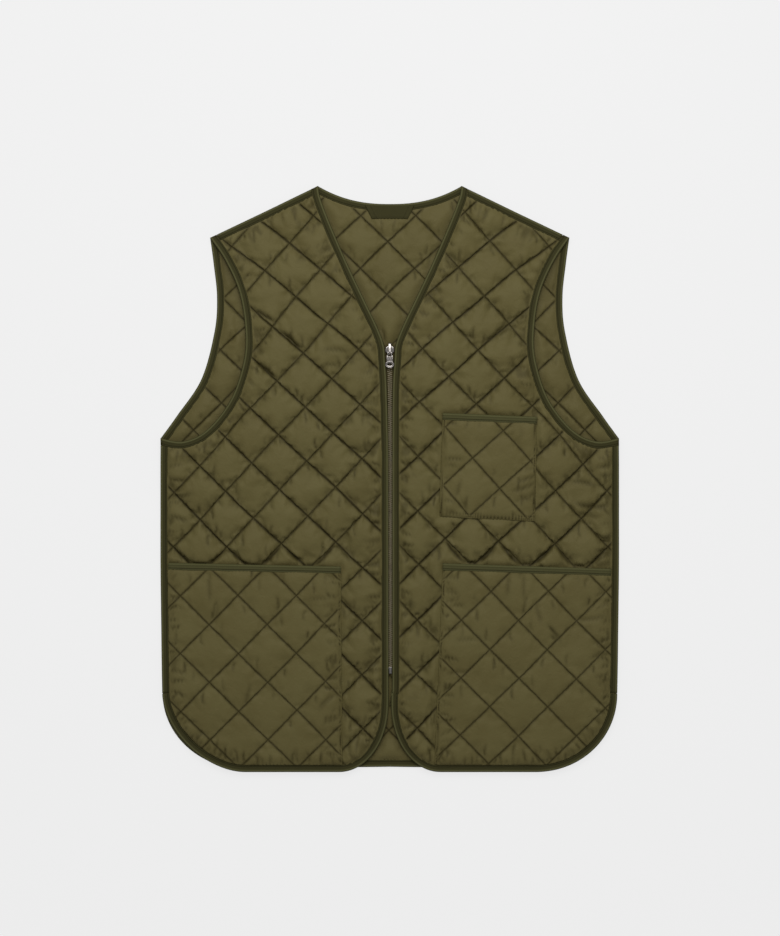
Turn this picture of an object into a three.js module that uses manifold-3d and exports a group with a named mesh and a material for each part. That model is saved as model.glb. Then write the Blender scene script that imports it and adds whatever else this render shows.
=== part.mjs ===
// A quilted vest laid flat with its front facing up, as it lies on a table.
// Units are millimetres. +Z is up, +Y runs from the hem to the neck and +X to the wearer's left.
// The origin is the middle of the outline, on the surface that the vest lies on.
import * as THREE from "three";
import { mergeVertices } from "three/addons/utils/BufferGeometryUtils.js";
import Module from "manifold-3d";

const wasm = await Module();
wasm.setup();

// Sizes of the cut
const halfChest = 279.5; // half the width under the armholes
const neckPoint = { x: 87.3, y: 357.5 }; // where the shoulder seam meets the neck
const shoulderTip = { x: 219.3, y: 294 };
const armpit = { x: halfChest, y: 50 };
const neckDrop = 21.7; // how far the back neck dips below the neck points
const neckPower = 2.35; // how late the back neck turns up
const vent = { x: 277.5, y: -262 }; // where the side seam ends and the round hem corner starts
const frontHemLevel = -357.5;
const backHemLevel = -351.5;
const backCornerLevel = -354; // the back hem is a little lower at its corners
const hemCornerWidth = 99.5; // round hem corner, across and along
const backCornerHeight = backCornerLevel - vent.y;
const frontCornerHeight = frontHemLevel - vent.y;
const centreCorner = { width: 60, height: 82, edge: 1.5 }; // round corner below the zip

// How round each front's hem corner lies: 2 is an ellipse, and less is tucked inwards
const cornerRoundness = { left: 2.03, right: 1.75, back: 1.98 };

// Cloth and tape
const gap = 0.3; // between pieces that touch
const tape = 0.9; // folded binding tape
const edgeCloth = 1.4; // quilted cloth pressed flat inside the tape
const bindingWidth = 8.5;
const bindingHeight = 2 * (tape + gap) + edgeCloth;
const bodyInset = bindingWidth + gap; // the puffed cloth starts here
const clothInset = tape + gap; // the flat edge of the cloth starts here
const pathStep = 20; // spacing of the tape's sections round a curve

// Quilting: squares standing on a corner, sewn through the padding
const bodySquare = 46.9;
const pocketSquare = 49.8;
const cells = { front: 3, back: 2 }; // grid cells across one square
const puffPower = 0.6;
const frontPuff = 4.4;
const backPuff = 3.0;
const pocketPuff = 3.0;
const edgeFade = 22; // the padding thins over this distance towards a panel's edge
const frontQuiltRow = 28; // level of a row of crossings beside the zip
const backQuiltRow = 25.3;
const shoulderLean = 0.13; // how far the upper fronts lean outwards, per millimetre of height
const leanStart = 150;
const leanRun = 60;

// Levels above the table
const backEdgeTop = clothInset + edgeCloth;
const frontSeamLevel = backEdgeTop + gap; // the front lies on the back inside a seam
const frontLyingLevel = frontSeamLevel + backPuff; // and on the back's padding elsewhere
const seamSlope = { flat: 26, run: 90, endClear: 14, endRun: 100 }; // how the level falls into a seam
const zipPress = { share: 0.2, from: 17, to: 46 }; // the padding under the zip is pressed flat
const tapePress = { share: 0.5, from: 16, to: 40 }; // and half flat under the front's tape
const pocketPress = { share: 0.3, from: 18, to: 42 };

// Patch pockets: corners of the sewn shape, mouth first, and a crossing of their quilting
const lowerPockets = {
  left: {
    mouthInner: [64.6, -102.6],
    mouthOuter: [300, -110.5],
    bottomInner: [53.5, -370],
    crossing: [121.8, -207.2],
    turn: -0.5,
  },
  right: {
    mouthInner: [-59.5, -106.5],
    mouthOuter: [-300, -101.5],
    bottomInner: [-57.5, -370],
    crossing: [-149.6, -176.9],
    turn: 0.3,
  },
};
const chestPocket = {
  mouthInner: [64.5, 80.5],
  mouthOuter: [179.5, 75.8],
  bottomOuter: [177.2, -51.7],
  bottomInner: [60.2, -46.4],
  crossing: [101.6, 25.6],
  turn: -3.2,
};

// Zip
const zip = { top: 163, bottom: -245, tapeWidth: 12.5, tapeThick: 0.7 };
const teeth = { half: 3, floor: 3.5, thick: 2.3 };
const zipBox = { half: 3, bottom: -237.5, top: -230, thick: 2.9 };
const slider = { y: 157.5, floor: 4.7, thick: 3, bridgeWidth: 2.8, nose: 9, tail: -4.4 };
const pull = { y: 154.1, z: 9.5, thick: 1.3, narrow: 3.3, round: 5.5, length: 15.4, bar: 0.7, hole: 1.6 };

const olive = { color: 0x5c5536, roughness: 0.62, metalness: 0 };
const green = { color: 0x3d4424, roughness: 0.85, metalness: 0 };
const zipBrown = { color: 0x4b4230, roughness: 0.85, metalness: 0 };
const nickel = { color: 0x8f877a, roughness: 0.35, metalness: 1 };

// Small helpers

const smooth = (t) => {
  const c = Math.min(1, Math.max(0, t));
  return c * c * (3 - 2 * c);
};
const mix = (a, b, t) => a + (b - a) * t;
const mirrored = (points) => points.map(([x, y]) => [-x, y]).reverse();
const onSide = (side, points) => (side === "left" ? points : mirrored(points));

function distanceTo(points, x, y, closed = false) {
  let best = Infinity;
  const last = closed ? points.length : points.length - 1;
  for (let i = 0; i < last; i++) {
    const [ax, ay] = points[i];
    const [bx, by] = points[(i + 1) % points.length];
    const length2 = (bx - ax) ** 2 + (by - ay) ** 2;
    const t = Math.min(1, Math.max(0, ((x - ax) * (bx - ax) + (y - ay) * (by - ay)) / length2));
    best = Math.min(best, Math.hypot(x - ax - t * (bx - ax), y - ay - t * (by - ay)));
  }
  return best;
}

function isInside(points, x, y) {
  let inside = false;
  points.forEach(([ax, ay], i) => {
    const [bx, by] = points[(i + 1) % points.length];
    if (ay > y !== by > y && x < ax + ((y - ay) * (bx - ax)) / (by - ay)) inside = !inside;
  });
  return inside;
}

// A smooth line through a table's rows, in steps of about the given length
function curveThrough(rows, step = pathStep) {
  const curve = new THREE.SplineCurve(rows.map(([x, y]) => new THREE.Vector2(x, y)));
  const steps = Math.max(2, Math.round(curve.getLength() / step));
  return curve.getSpacedPoints(steps).map((p) => [p.x, p.y]);
}

// A round hem corner from its lowest point to the vent. A roundness of 2 is a quarter of an ellipse.
function hemCorner(width, height, roundness, steps = 9) {
  const centre = [vent.x - width, vent.y];
  return Array.from({ length: steps + 1 }, (_, i) => {
    const turn = (Math.PI / 2) * (i / steps);
    const across = Math.sin(turn) ** (2 / roundness);
    const along = Math.max(0, Math.cos(turn)) ** (2 / roundness);
    return [centre[0] + width * across, centre[1] + height * along];
  });
}

// Moves a line of points to its left, which is inwards on a counterclockwise outline
function inset(points, distance, closed = false) {
  const n = points.length;
  const moved = points.map((p, i) => {
    const before = closed || i > 0 ? points[(i - 1 + n) % n] : null;
    const after = closed || i < n - 1 ? points[(i + 1) % n] : null;
    const normals = [before && [before, p], after && [p, after]].filter(Boolean).map(([a, b]) => {
      const length = Math.hypot(b[0] - a[0], b[1] - a[1]);
      return [-(b[1] - a[1]) / length, (b[0] - a[0]) / length];
    });
    const sum = normals.reduce((s, v) => [s[0] + v[0], s[1] + v[1]], [0, 0]);
    const scale = (distance * normals.length) / (sum[0] ** 2 + sum[1] ** 2);
    return [p[0] + sum[0] * scale, p[1] + sum[1] * scale];
  });
  // In a tight corner of a closed outline, points that come too near to the outline are left out
  const tooNear = ([x, y]) => distanceTo(points, x, y, true) < distance - 0.01;
  return closed ? moved.filter((p) => !tooNear(p)) : moved;
}

// Carries a line of points on past its first point, or past both ends
function startedEarlier(points, distance) {
  const [[ax, ay], [bx, by]] = points;
  const length = Math.hypot(ax - bx, ay - by);
  return [[ax + ((ax - bx) / length) * distance, ay + ((ay - by) / length) * distance], ...points];
}
const extended = (points, distance) =>
  startedEarlier(startedEarlier(points, distance).reverse(), distance).reverse();

// Outline of the vest's left half, counterclockwise, in stretches that share their end points

const neck = Array.from({ length: 8 }, (_, i) => {
  const share = 1 - i / 7;
  return [neckPoint.x * share, neckPoint.y - neckDrop + neckDrop * share ** neckPower];
});
const shoulder = Array.from({ length: 8 }, (_, i) => [
  mix(shoulderTip.x, neckPoint.x, i / 7),
  mix(shoulderTip.y, neckPoint.y, i / 7),
]);
// x and y of the side seam, from the vent up to the armpit
const side = curveThrough(
  [
    [vent.x, vent.y],
    [278.6, -200],
    [279.9, -95],
    [armpit.x, armpit.y],
  ],
  20,
);
// x and y of the back armhole, from the armpit up to the shoulder
const backArmhole = curveThrough([
  [armpit.x, armpit.y],
  [260, 77],
  [230, 122],
  [214, 180],
  [211, 222],
  [215, 262],
  [shoulderTip.x, shoulderTip.y],
]);
// x and y of the front armhole, which is cut deeper
const frontArmhole = curveThrough([
  [armpit.x, armpit.y],
  [252, 46],
  [223, 60],
  [194, 97],
  [178, 145],
  [176.5, 185],
  [184, 229],
  [201, 267],
  [shoulderTip.x, shoulderTip.y],
]);
// x and y of the V neck's edge, from the neck point down to the zip's top
const neckEdge = curveThrough([
  [neckPoint.x, neckPoint.y],
  [84.4, 342],
  [71.6, 308.7],
  [50.9, 261],
  [31.4, 219.6],
  [14.5, 184],
  [6.8, 163],
  [5.7, 150],
]);
// x and y of the front edge beside the zip, downwards
const zipEdge = curveThrough(
  [
    [5.7, 150],
    [4.7, 95],
    [3.6, -20],
    [3.5, -120],
    [3.45, -226],
  ],
  60,
);
const belowZip = curveThrough(
  [
    [3.45, -226],
    [3.4, -238],
    [1.8, -254],
    [centreCorner.edge, frontHemLevel + centreCorner.height],
  ],
  12,
);
// A quarter of an ellipse from the front edge round to the hem
const roundCorner = Array.from({ length: 8 }, (_, i) => {
  const turn = (Math.PI / 2) * (i / 7);
  return [
    centreCorner.edge + centreCorner.width * (1 - Math.cos(turn)),
    frontHemLevel + centreCorner.height * (1 - Math.sin(turn)),
  ];
});
const backCorner = hemCorner(hemCornerWidth, backCornerHeight, cornerRoundness.back);
const backHem = [[0, backHemLevel], [95, (backHemLevel + backCornerLevel) / 2], ...backCorner];
const frontHem = {
  left: [roundCorner.at(-1), ...hemCorner(hemCornerWidth, frontCornerHeight, cornerRoundness.left)],
  right: [roundCorner.at(-1), ...hemCorner(hemCornerWidth, frontCornerHeight, cornerRoundness.right)],
};

const joined = (...stretches) => stretches.flatMap((s, i) => (i ? s.slice(1) : s));
const backHalf = joined(backHem, side, backArmhole, shoulder, neck);
const backOutline = [...backHalf, ...mirrored(backHalf).slice(1, -1)];
// From the neck point down the V and the zip, round the hem and up to the vent
const frontEdge = {
  left: joined(neckEdge, zipEdge, belowZip, roundCorner, frontHem.left),
  right: joined(neckEdge, zipEdge, belowZip, roundCorner, frontHem.right),
};
const frontOutline = Object.fromEntries(
  Object.entries(frontEdge).map(([name, edge]) => {
    const outline = joined(edge, side, frontArmhole, shoulder).slice(0, -1);
    return [name, onSide(name, outline)];
  }),
);

// Levels of the layers

// 1 along the middle of the side and shoulder seams, where front and back are sewn together
function seamShare(x, y) {
  const seams = [
    [vent, armpit],
    [neckPoint, shoulderTip],
  ];
  const shares = seams.map(([from, to]) => {
    const length = Math.hypot(to.x - from.x, to.y - from.y);
    const [alongX, alongY] = [(to.x - from.x) / length, (to.y - from.y) / length];
    const along = (Math.abs(x) - from.x) * alongX + (y - from.y) * alongY;
    const across = Math.abs((Math.abs(x) - from.x) * alongY - (y - from.y) * alongX);
    const toEnd = Math.min(along, length - along);
    const open = smooth((across - seamSlope.flat) / seamSlope.run);
    return smooth((toEnd - seamSlope.endClear) / seamSlope.endRun) * (1 - open);
  });
  return Math.max(...shares);
}

// Underside of the front panels
const frontLevel = (x, y) => mix(frontLyingLevel, frontSeamLevel, seamShare(x, y));

// Share of the padding's height: it thins towards an outline
const edgeShare = (outline, x, y) =>
  mix(0.35, 1, smooth((distanceTo(outline, x, y, true) - bindingWidth) / edgeFade));

// Share of its height that padding keeps at a distance from what presses it
const pressed = ({ share, from, to }, distance) => mix(share, 1, smooth((distance - from) / (to - from)));

function backTop(x, y, puff) {
  const underZip = y < zip.top + 20 && y > zip.bottom - 20;
  const toTape = distanceTo(frontOutline.left, Math.abs(x), y, true);
  const press = Math.min(pressed(tapePress, toTape), underZip ? pressed(zipPress, Math.abs(x)) : 1);
  const height = backPuff * puff * (1 - seamShare(x, y)) * edgeShare(backOutline, x, y);
  return backEdgeTop + height * press;
}

// Pocket shapes, counterclockwise, and the line of each mouth
const pocketShape = {
  chest: [chestPocket.mouthInner, chestPocket.bottomInner, chestPocket.bottomOuter, chestPocket.mouthOuter],
  left: [
    lowerPockets.left.mouthInner,
    lowerPockets.left.bottomInner,
    [300, -370],
    lowerPockets.left.mouthOuter,
  ],
  right: [
    lowerPockets.right.mouthInner,
    lowerPockets.right.mouthOuter,
    [-300, -370],
    lowerPockets.right.bottomInner,
  ],
};

function frontTop(x, y, puff) {
  const shapes = x > 0 ? [pocketShape.chest, pocketShape.left] : [pocketShape.right];
  const nearest = Math.min(...shapes.map((s) => (isInside(s, x, y) ? 0 : distanceTo(s, x, y, true))));
  const fade = edgeShare(frontOutline[x > 0 ? "left" : "right"], x, y);
  return frontLevel(x, y) + edgeCloth + frontPuff * puff * fade * pressed(pocketPress, nearest);
}

const pocketFloor = (x, y) => frontLevel(x, y) + edgeCloth + frontPuff * pocketPress.share + gap;

// Solids

function solidOf(vertices, triangles) {
  const make = (triVerts) =>
    new wasm.Manifold(new wasm.Mesh({ numProp: 3, vertProperties: new Float32Array(vertices), triVerts }));
  const made = make(new Uint32Array(triangles));
  if (made.volume() > 0) return made;
  return make(new Uint32Array(triangles).reverse());
}

function solidFrom(geometry) {
  const bare = geometry.clone();
  bare.deleteAttribute("normal");
  bare.deleteAttribute("uv");
  const merged = mergeVertices(bare, 1e-4);
  return solidOf(merged.attributes.position.array, merged.index.array);
}

function prism(points, low = -20, high = 60) {
  const shape = new THREE.Shape(points.map(([x, y]) => new THREE.Vector2(x, y)));
  const block = new THREE.ExtrudeGeometry(shape, { depth: high - low, bevelEnabled: false });
  return solidFrom(block.translate(0, 0, low));
}

// Everything below a quilted surface. The grid follows the sewn lines, so each line is a sharp valley.
// height(x, y, puff) gives the surface, with puff 0 on a sewn line and about 1 in a square's middle.
function below({ square, split, turn = 0, crossing, lean = () => 0 }, height) {
  const reach = 450;
  const cell = square / split;
  const count = 2 * split * Math.ceil(reach / square);
  const angle = Math.PI / 4 + THREE.MathUtils.degToRad(turn);
  const low = -10;
  const vertices = [];
  const bulge = (k) => Math.sin((Math.PI * (k % split)) / split) ** puffPower;
  for (const layer of ["top", "bottom"]) {
    for (let i = 0; i <= count; i++) {
      for (let j = 0; j <= count; j++) {
        const u = (i - count / 2) * cell;
        const v = (j - count / 2) * cell;
        const straight = crossing[0] + u * Math.cos(angle) - v * Math.sin(angle);
        const y = crossing[1] + u * Math.sin(angle) + v * Math.cos(angle);
        const x = straight + lean(straight, y);
        vertices.push(x, y, layer === "top" ? height(x, y, bulge(i) * bulge(j)) : low);
      }
    }
  }
  const row = count + 1;
  const lower = row * row;
  const triangles = [];
  const quad = (a, b, c, d) => triangles.push(a, b, c, a, c, d);
  for (let i = 0; i < count; i++) {
    for (let j = 0; j < count; j++) {
      const [a, b, c, d] = [i * row + j, (i + 1) * row + j, (i + 1) * row + j + 1, i * row + j + 1];
      const early = (k) => k % split < split / 2;
      if (early(i) === early(j)) quad(a, b, c, d);
      else quad(b, c, d, a);
      quad(a + lower, d + lower, c + lower, b + lower);
    }
    quad(i * row, i * row + lower, (i + 1) * row + lower, (i + 1) * row);
    const far = i * row + count;
    quad(far, far + row, far + row + lower, far + lower);
    quad(i, i + 1, i + 1 + lower, i + lower);
    const end = count * row + i;
    quad(end, end + lower, end + 1 + lower, end + 1);
  }
  return solidOf(vertices, triangles);
}

// A tape folded over an edge: a C-shaped section whose back is on the path and whose legs reach to its left.
// low(x, y) and high(x, y) are the levels of its underside and its upper side.
function foldedTape(path, low, high, width = bindingWidth) {
  const section = [
    [0, low, 0],
    [0, high, -tape],
    [tape, high, 0],
    [width, high, 0],
    [width, high, -tape],
    [tape, high, -tape],
    [tape, low, tape],
    [width, low, tape],
    [width, low, 0],
  ];
  const rails = section.map(([distance, level, offset]) =>
    inset(path, distance).map(([x, y]) => [x, y, level(x, y) + offset]),
  );
  const n = section.length;
  const vertices = path.flatMap((_, i) => rails.flatMap((rail) => rail[i]));
  const triangles = [];
  for (let i = 0; i < path.length - 1; i++) {
    for (let k = 0; k < n; k++) {
      const [a, b] = [i * n + k, i * n + ((k + 1) % n)];
      triangles.push(a, b, b + n, a, b + n, a + n);
    }
  }
  const apart = 4; // the two legs are drawn this far apart to find the end's triangles
  const flat = section.map(
    ([distance, level, offset]) => new THREE.Vector2(distance, (level === high ? apart : 0) + offset),
  );
  const turned = THREE.ShapeUtils.isClockWise(flat);
  THREE.ShapeUtils.triangulateShape(flat, []).forEach(([a, b, c]) => {
    const end = (path.length - 1) * n;
    if (turned) triangles.push(a, b, c, end + a, end + c, end + b);
    else triangles.push(a, c, b, end + a, end + b, end + c);
  });
  return solidOf(vertices, triangles);
}

// A strip as wide as a tape along a path, standing through all layers, to cut what crosses it
function strip(path, width) {
  return prism([...extended(path, 20), ...inset(extended(path, 20), width).reverse()]);
}

// Pieces

const lean = (sign) => (x, y) =>
  sign * shoulderLean * Math.max(0, y - leanStart) * smooth((y - leanStart) / leanRun);
const backQuilt = { square: bodySquare, split: cells.back, crossing: [0, backQuiltRow] };
const halfAcross = bodySquare * Math.SQRT1_2;
const frontQuilt = {
  left: { square: bodySquare, split: cells.front, crossing: [halfAcross, frontQuiltRow], lean: lean(1) },
  right: { square: bodySquare, split: cells.front, crossing: [-halfAcross, frontQuiltRow], lean: lean(-1) },
};
// The flat edge of the cloth reaches this far under the puffed part
const edgeOverlap = 3;

// A ring of cloth along an outline, standing through all layers
const edgeRing = (outline) =>
  prism(inset(outline, clothInset, true)).subtract(prism(inset(outline, bodyInset + edgeOverlap, true)));

function backPanel() {
  const puffed = prism(inset(backOutline, bodyInset, true), 0).intersect(below(backQuilt, backTop));
  return puffed.add(edgeRing(backOutline).intersect(prism(backOutline, clothInset, backEdgeTop)));
}

function frontPanel(name) {
  const outline = frontOutline[name];
  const puffed = prism(inset(outline, bodyInset, true)).intersect(below(frontQuilt[name], frontTop));
  const edge = edgeRing(outline).intersect(below(backQuilt, (x, y) => frontLevel(x, y) + edgeCloth));
  return puffed.add(edge).subtract(below(backQuilt, frontLevel));
}

function pocket(name, quilt, mouth) {
  const panel = name === "chest" ? "left" : name;
  const shape = pocketShape[name];
  const within = prism(inset(frontOutline[panel], bodyInset + gap, true));
  const top = (x, y, puff) => {
    const fade = mix(0.3, 1, smooth((distanceTo(shape, x, y, true) - 4) / 20));
    return pocketFloor(x, y) + edgeCloth + pocketPuff * puff * fade;
  };
  const level = (offset) => below(backQuilt, (x, y) => pocketFloor(x, y) + offset);
  const sewn = prism(shape).subtract(strip(mouth, bodyInset));
  const puffed = sewn.intersect(below(quilt, top)).subtract(level(0));
  const lip = prism(inset([...mouth, ...inset(mouth, bodyInset + edgeOverlap).reverse()], clothInset, true));
  const mouthEdge = lip.intersect(level(clothInset + edgeCloth)).subtract(level(clothInset));
  return puffed.add(mouthEdge).intersect(within);
}

function mouthLine({ mouthInner, mouthOuter }, name) {
  const steps = name === "chest" ? 1 : 10;
  const line = Array.from({ length: steps + 1 }, (_, i) => [
    mix(mouthOuter[0], mouthInner[0], i / steps),
    mix(mouthOuter[1], mouthInner[1], i / steps),
  ]);
  return name === "right" ? line.reverse() : line;
}

function pocketBinding(name, mouth) {
  const panel = name === "chest" ? "left" : name;
  const within = prism(inset(frontOutline[panel], bodyInset, true));
  return foldedTape(mouth, pocketFloor, (x, y) => pocketFloor(x, y) + bindingHeight).intersect(within);
}

const spare = 10; // tape beyond an end, cut off by the next seam
const frontTapeLevel = (x, y) => frontLevel(x, y) - clothInset;
const frontTape = (path) => foldedTape(path, frontTapeLevel, (x, y) => frontTapeLevel(x, y) + bindingHeight);
const backTape = (path) =>
  foldedTape(
    path,
    () => 0,
    () => bindingHeight,
  );
const seamTape = (path) =>
  foldedTape(
    path,
    () => 0,
    (x, y) => frontLevel(x, y) + edgeCloth + clothInset,
  );

function frontEdgeBinding(name) {
  const path = onSide(name, startedEarlier(frontEdge[name], spare));
  return frontTape(path).intersect(prism(frontOutline[name]));
}

function armholeBinding(name, layer) {
  const isFront = layer === "front";
  const path = extended(onSide(name, isFront ? frontArmhole : backArmhole), spare);
  const made = isFront ? frontTape(path) : backTape(path);
  return made.intersect(prism(isFront ? frontOutline[name] : backOutline));
}

function shoulderBinding(name) {
  const crossing = [frontEdge[name], frontArmhole, backArmhole, neck];
  return crossing.reduce(
    (made, path) => made.subtract(strip(onSide(name, path), bodyInset)),
    seamTape(onSide(name, shoulder)),
  );
}

function sideBinding(name) {
  const clearOfHem = 1;
  const path = side.map(([x, y], i) => (i === 0 ? [x, y + clearOfHem] : [x, y]));
  return [frontArmhole, backArmhole].reduce(
    (made, crossing) => made.subtract(strip(onSide(name, crossing), bodyInset)),
    seamTape(onSide(name, path)),
  );
}

function backNeckBinding() {
  const path = extended([...neck, ...mirrored(neck).slice(1)], spare);
  return backTape(path).intersect(prism(backOutline));
}

function backHemBinding() {
  const path = [...mirrored(backHem), ...backHem.slice(1)];
  return backTape(path);
}

// The loop that the vest hangs by, a folded tape with slanted ends, flat below the neck binding
function hangerLoop() {
  const loop = { upper: 30, lower: 22, top: 334, bottom: 317.6, thick: 1.8 };
  const shape = [
    [-loop.lower, loop.bottom],
    [loop.lower, loop.bottom],
    [loop.upper, loop.top],
    [-loop.upper, loop.top],
  ];
  const neckLine = [...neck, ...mirrored(neck).slice(1)];
  const floor = (offset) => below(backQuilt, (x, y, puff) => backTop(x, y, puff) + offset);
  return prism(shape)
    .intersect(floor(gap + loop.thick))
    .subtract(floor(gap))
    .subtract(strip(neckLine, bodyInset));
}

function zipTape(sign) {
  const inner = teeth.half + gap;
  const outer = teeth.half + zip.tapeWidth;
  const top = frontLevel(0, 0) - clothInset - gap;
  const block = new THREE.BoxGeometry(outer - inner, zip.top - zip.bottom, zip.tapeThick);
  const half = (inner + outer) / 2;
  return solidFrom(block.translate(sign * half, (zip.top + zip.bottom) / 2, top - zip.tapeThick / 2));
}

function zipTeeth(sign) {
  const bottom = zipBox.top + gap;
  const top = slider.y + slider.tail - gap;
  const width = teeth.half - gap / 2;
  const block = new THREE.BoxGeometry(width, top - bottom, teeth.thick);
  return solidFrom(
    block.translate(sign * (width / 2 + gap / 2), (top + bottom) / 2, teeth.floor + teeth.thick / 2),
  );
}

// The box at the zip's lower end, which the pin of the other side slides into
function zipEndBox() {
  const { half, bottom, top } = zipBox;
  return prism(
    [
      [-half, bottom + 1],
      [-half + 1, bottom],
      [half - 1, bottom],
      [half, bottom + 1],
      [half, top],
      [-half, top],
    ],
    teeth.floor,
    teeth.floor + zipBox.thick,
  );
}

// Body of the slider with its nose towards the neck, and the bridge that holds the pull
function zipSlider() {
  const outline = [
    [3.7, slider.tail],
    [5.2, -0.6],
    [5.2, 3.2],
    [2.2, slider.nose],
  ];
  const body = prism([...outline, ...mirrored(outline)], 0, slider.thick);
  // y and z of the bridge seen from the side, outer line and then the tunnel under it
  const foot = slider.thick - 0.5;
  const profile = [
    [-4.3, foot],
    [-5.9, 4],
    [-5.9, 5.8],
    [-4.8, 6.9],
    [3.6, 6.9],
    [8, 4],
    [8.8, foot],
    [6.3, foot],
    [2.8, 5.9],
    [-4.3, 5.9],
    [-4.8, 5.4],
    [-4.8, 4.3],
    [-3.6, foot],
  ];
  const shape = new THREE.Shape(profile.map(([y, z]) => new THREE.Vector2(y, z)));
  const arch = new THREE.ExtrudeGeometry(shape, { depth: slider.bridgeWidth, bevelEnabled: false });
  // The profile is drawn in XY and turned so that its X runs along Y and its Y along Z
  arch.rotateX(Math.PI / 2).rotateZ(Math.PI / 2).translate(-slider.bridgeWidth / 2, 0, 0);
  return body.add(solidFrom(arch)).translate(0, slider.y, slider.floor);
}

// The pull tab, with a slot for the bridge at one end and a round hole at the other
function zipPull() {
  const { narrow, round, bar, length } = pull;
  const centre = round - length;
  const slotSize = { half: 1.8, end: -5.2 };
  const shape = new THREE.Shape();
  shape.moveTo(-narrow, bar);
  shape.lineTo(-narrow, centre + round);
  shape.absarc(0, centre, round, Math.PI * 0.79, Math.PI * 2.21, false);
  shape.lineTo(narrow, centre + round);
  shape.lineTo(narrow, bar);
  const slot = new THREE.Path();
  slot.moveTo(-slotSize.half, -bar);
  slot.lineTo(slotSize.half, -bar);
  slot.lineTo(slotSize.half, slotSize.end);
  slot.lineTo(-slotSize.half, slotSize.end);
  const hole = new THREE.Path().absarc(0, centre, pull.hole, 0, Math.PI * 2, true);
  shape.holes.push(slot, hole);
  const cut = { depth: pull.thick, bevelEnabled: false, curveSegments: 10 };
  const plate = new THREE.ExtrudeGeometry(shape, cut);
  return solidFrom(plate.translate(0, 0, -pull.thick / 2));
}

// The whole vest

const vest = new THREE.Group();

function place(name, solid, finish) {
  const made = solid.getMesh();
  const geometry = new THREE.BufferGeometry();
  geometry.setAttribute("position", new THREE.BufferAttribute(made.vertProperties, made.numProp));
  geometry.setIndex(new THREE.BufferAttribute(made.triVerts, 1));
  const mesh = new THREE.Mesh(geometry, new THREE.MeshStandardMaterial(finish));
  mesh.name = name;
  vest.add(mesh);
  return mesh;
}

place("back_panel", backPanel(), olive);
place("back_neck_binding", backNeckBinding(), green);
place("back_hem_binding", backHemBinding(), green);
place("hanger_loop", hangerLoop(), green);

for (const name of ["left", "right"]) {
  const sign = name === "left" ? 1 : -1;
  place(`front_panel_${name}`, frontPanel(name), olive);
  place(`front_edge_binding_${name}`, frontEdgeBinding(name), green);
  place(`front_armhole_binding_${name}`, armholeBinding(name, "front"), green);
  place(`back_armhole_binding_${name}`, armholeBinding(name, "back"), green);
  place(`side_seam_binding_${name}`, sideBinding(name), green);
  place(`shoulder_seam_binding_${name}`, shoulderBinding(name), green);
  const mouth = mouthLine(lowerPockets[name], name);
  const { crossing, turn } = lowerPockets[name];
  const quilt = { square: pocketSquare, split: cells.front, crossing, turn };
  place(`lower_pocket_${name}`, pocket(name, quilt, mouth), olive);
  place(`lower_pocket_binding_${name}`, pocketBinding(name, mouth), green);
  place(`zip_tape_${name}`, zipTape(sign), zipBrown);
  place(`zip_teeth_${name}`, zipTeeth(sign), nickel);
}

const chestMouth = mouthLine(chestPocket, "chest");
const { crossing, turn } = chestPocket;
const chestQuilt = { square: pocketSquare, split: cells.front, crossing, turn };
place("chest_pocket", pocket("chest", chestQuilt, chestMouth), olive);
place("chest_pocket_binding", pocketBinding("chest", chestMouth), green);

place("zip_box", zipEndBox(), nickel);
place("zip_slider", zipSlider(), nickel);
const tab = place("zip_pull", zipPull(), nickel);
tab.position.set(0, pull.y, pull.z);

export default vest;
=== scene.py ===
# %% [markdown]
# # A quilted vest, laid flat
# The vest is nylon, sewn in squares through thin wadding, with every edge bound in tape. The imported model
# gives its pieces at their real size as plain solids. This lesson dresses them: it puffs up the padding with
# a small cloth simulation, folds the tape, cuts the zip's teeth and gives each cloth and metal its finish.

import bmesh
import bpy
import numpy as np
from mathutils import Matrix, Vector


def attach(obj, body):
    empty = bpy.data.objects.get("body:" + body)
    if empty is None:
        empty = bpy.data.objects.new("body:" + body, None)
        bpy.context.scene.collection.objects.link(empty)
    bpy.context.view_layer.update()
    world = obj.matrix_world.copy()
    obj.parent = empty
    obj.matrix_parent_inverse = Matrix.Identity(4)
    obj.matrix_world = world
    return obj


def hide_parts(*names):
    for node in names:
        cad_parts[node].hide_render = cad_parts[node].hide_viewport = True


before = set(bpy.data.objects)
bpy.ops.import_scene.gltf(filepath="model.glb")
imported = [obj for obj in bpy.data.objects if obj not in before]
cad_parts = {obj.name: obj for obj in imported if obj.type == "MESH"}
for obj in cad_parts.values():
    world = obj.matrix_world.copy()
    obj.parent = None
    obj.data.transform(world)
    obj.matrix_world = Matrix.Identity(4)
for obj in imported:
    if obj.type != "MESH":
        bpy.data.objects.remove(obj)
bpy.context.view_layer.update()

# %% [markdown]
# Sizes are in millimetres, as a pattern cutter would note them, and they turn into metres only when a mesh
# is made. The driving sizes are those of the cut, and the shared levels say how high each layer lies above
# the table: the back at the bottom, the fronts on its padding and the pockets on theirs.

# %% Sizes of the cut and levels of the layers
MM = 0.001
NECK_POINT = np.array([87.3, 357.5])
SHOULDER_TIP = np.array([219.3, 294.0])
ARMPIT = np.array([279.5, 50.0])
VENT = np.array([277.5, -262.0])
NECK_DROP = 21.7
NECK_POWER = 2.35
FRONT_HEM = -357.5
BACK_HEM = -351.5
BACK_CORNER = -354.0
HEM_CORNER_WIDTH = 99.5
CORNER_ROUNDNESS = {"left": 2.03, "right": 1.75, "back": 1.98}
CENTRE_CORNER = {"width": 60.0, "height": 82.0, "edge": 1.5}

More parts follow.
